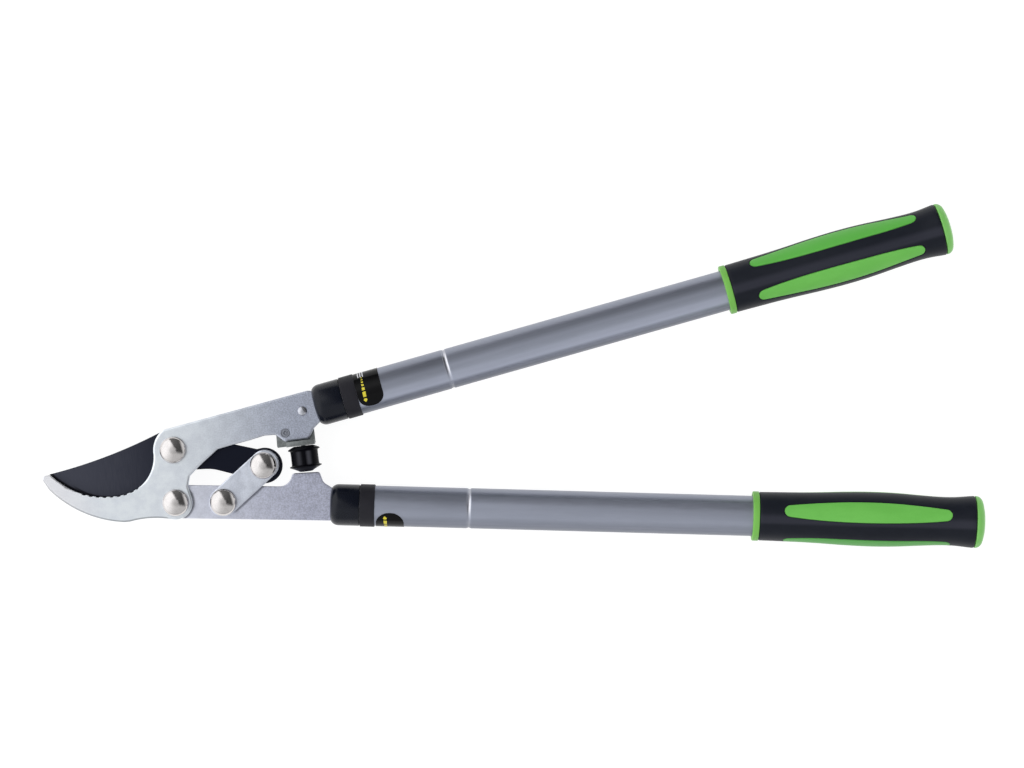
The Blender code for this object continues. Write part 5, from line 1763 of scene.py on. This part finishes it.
# %% Floor
FLOOR_REACH = 30.0
WHITE_STRENGTH, SHADOW_GREY = 0.9, 0.22
floor_material, tree, shader = new_finish("pale_floor", Roughness=0.8)
shader.inputs["Base Color"].default_value = (0.86, 0.86, 0.86, 1)
seen = add_node(tree, "LightPath").outputs
directly = either(tree, seen["Is Camera Ray"], seen["Is Glossy Ray"])
directly = either(tree, directly, seen["Is Transmission Ray"])
white = add_node(tree, "Emission", {"Color": (1, 1, 1, 1), "Strength": WHITE_STRENGTH})
faint = add_node(tree, "BsdfDiffuse", {"Color": opaque([SHADOW_GREY] * 3)})
bright_ground = add_node(tree, "AddShader", {0: white.outputs[0], 1: faint.outputs[0]})
veils = {0: directly, 1: shader.outputs[0], 2: bright_ground.outputs[0]}
veiled = add_node(tree, "MixShader", veils)
tree.links.new(veiled.outputs[0], tree.nodes["Material Output"].inputs["Surface"])
floor_mesh = bpy.data.meshes.new("floor")
corners = [(-1, -1), (1, -1), (1, 1), (-1, 1)]
corners = [(x * FLOOR_REACH, y * FLOOR_REACH, 0.0) for x, y in corners]
floor_mesh.from_pydata(corners, [], [(0, 1, 2, 3)])
floor_mesh.materials.append(floor_material)
floor = bpy.data.objects.new("floor", floor_mesh)
bpy.context.scene.collection.objects.link(floor)
print("floor:", 2 * FLOOR_REACH, "m wide")

# %% [markdown]
# What polished metal shows is the room. In the photograph a large soft window at the left, and
# slightly below, gives the domes their white half. A dark part of the room, beyond the upper
# right, gives them their dark patch and the tubes their dark band. Panels could stand round the
# tool for this, but other views would meet them, so the room is the world's own light: smooth
# ranges of a direction, and each side is given in degrees from the picture's right.

# %% Light of the room
PICTURE_RIGHT = (0.99227, -0.12412)
PICTURE_TURN = math.atan2(PICTURE_RIGHT[1], PICTURE_RIGHT[0])
world = bpy.data.worlds.new("studio_room")
bpy.context.scene.world = world
world.use_nodes = True
tree = world.node_tree
direction = add_node(tree, "TexCoord").outputs["Generated"]
upwards = coordinate(tree, direction, "Z")


def towards(turn, low, high, to_low=0.0, to_high=1.0, rise=0.0):
    """How far the direction leans to a side, given as degrees from the picture's right, and up."""
    turn = math.radians(turn) + PICTURE_TURN
    side_way = (math.cos(turn), math.sin(turn), rise)
    lean = vector_math(tree, "DOT_PRODUCT", direction, side_way)
    return ranged(tree, lean, low, high, to_low, to_high)


window_side = towards(152, -0.45, 0.65, 0.66, 1.44)
overhead = ranged(tree, upwards, 0.90, 0.993, 1.0, 0.68)
near_floor = ranged(tree, upwards, 0.0, 0.4, 0.78, 1.0)
beyond_right, beyond_top = towards(25, -0.06, 0.12, rise=-0.1), towards(78, -0.36, 0.06)
below_zenith = ranged(tree, upwards, 0.965, 0.993, 1.0, 0.15)
dark_part = times(tree, beyond_right, beyond_top, below_zenith)
left_light = ranged(tree, dark_part, 0.0, 1.0, 1.0, 0.12)
room = times(tree, window_side, overhead, near_floor, left_light)
low_right = towards(15, 0.66, 0.92, 0.0, 0.75)
strength = add_node(tree, "Math", {0: room, 1: low_right}, operation="ADD").outputs[0]
tree.links.new(strength, tree.nodes["Background"].inputs["Strength"])
tree.nodes["Background"].inputs["Color"].default_value = (0.98, 0.99, 1.0, 1)
print("room:", len(tree.nodes), "nodes")

# %% [markdown]
# Two large soft lamps help the room: they give the tool its faint shadow and light it from both
# sides. They are kept out of reflections, because their square shapes would show in the domes.

# %% Two soft lamps
LAMP_SIZE = 1.6
LAMPS = {"window_left": ((-1.55, -0.35, 1.25), 8.0), "fill_right": ((1.7, 0.25, 0.9), 9.0)}
for name, (place, power) in LAMPS.items():
    lamp = bpy.data.lights.new(name, "AREA")
    lamp.shape, lamp.size, lamp.size_y, lamp.energy = "RECTANGLE", LAMP_SIZE, LAMP_SIZE, power
    lamp_object = bpy.data.objects.new(name, lamp)
    lamp_object.location = place
    lamp_object.rotation_euler = (-Vector(place)).to_track_quat("-Z", "Y").to_euler()
    lamp_object.visible_glossy = False
    bpy.context.scene.collection.objects.link(lamp_object)
    print(f"lamp {name}: {power} W")

# %% [markdown]
# The photograph looks straight down on the tool. The camera stands above it at the distance that a
# long lens would have, and its turn about the vertical lays the tool at the picture's own slant.

# %% Camera
CAMERA_DISTANCE = 2.52
VIEW_WIDTH = 0.7373
PICTURE_MIDDLE = (0.00784, 0.03383)
camera = bpy.data.cameras.new("camera")
camera.sensor_width = 36.0
camera.lens = camera.sensor_width * CAMERA_DISTANCE / VIEW_WIDTH
camera_object = bpy.data.objects.new("camera", camera)
camera_object.location = (*PICTURE_MIDDLE, tool_origin.z + CAMERA_DISTANCE)
camera_object.rotation_euler = (0, 0, PICTURE_TURN)
bpy.context.scene.collection.objects.link(camera_object)
bpy.context.scene.camera = camera_object
bpy.context.scene.view_settings.view_transform = "Standard"
print(f"camera: a lens of {camera.lens:.1f} mm sees {VIEW_WIDTH} m")
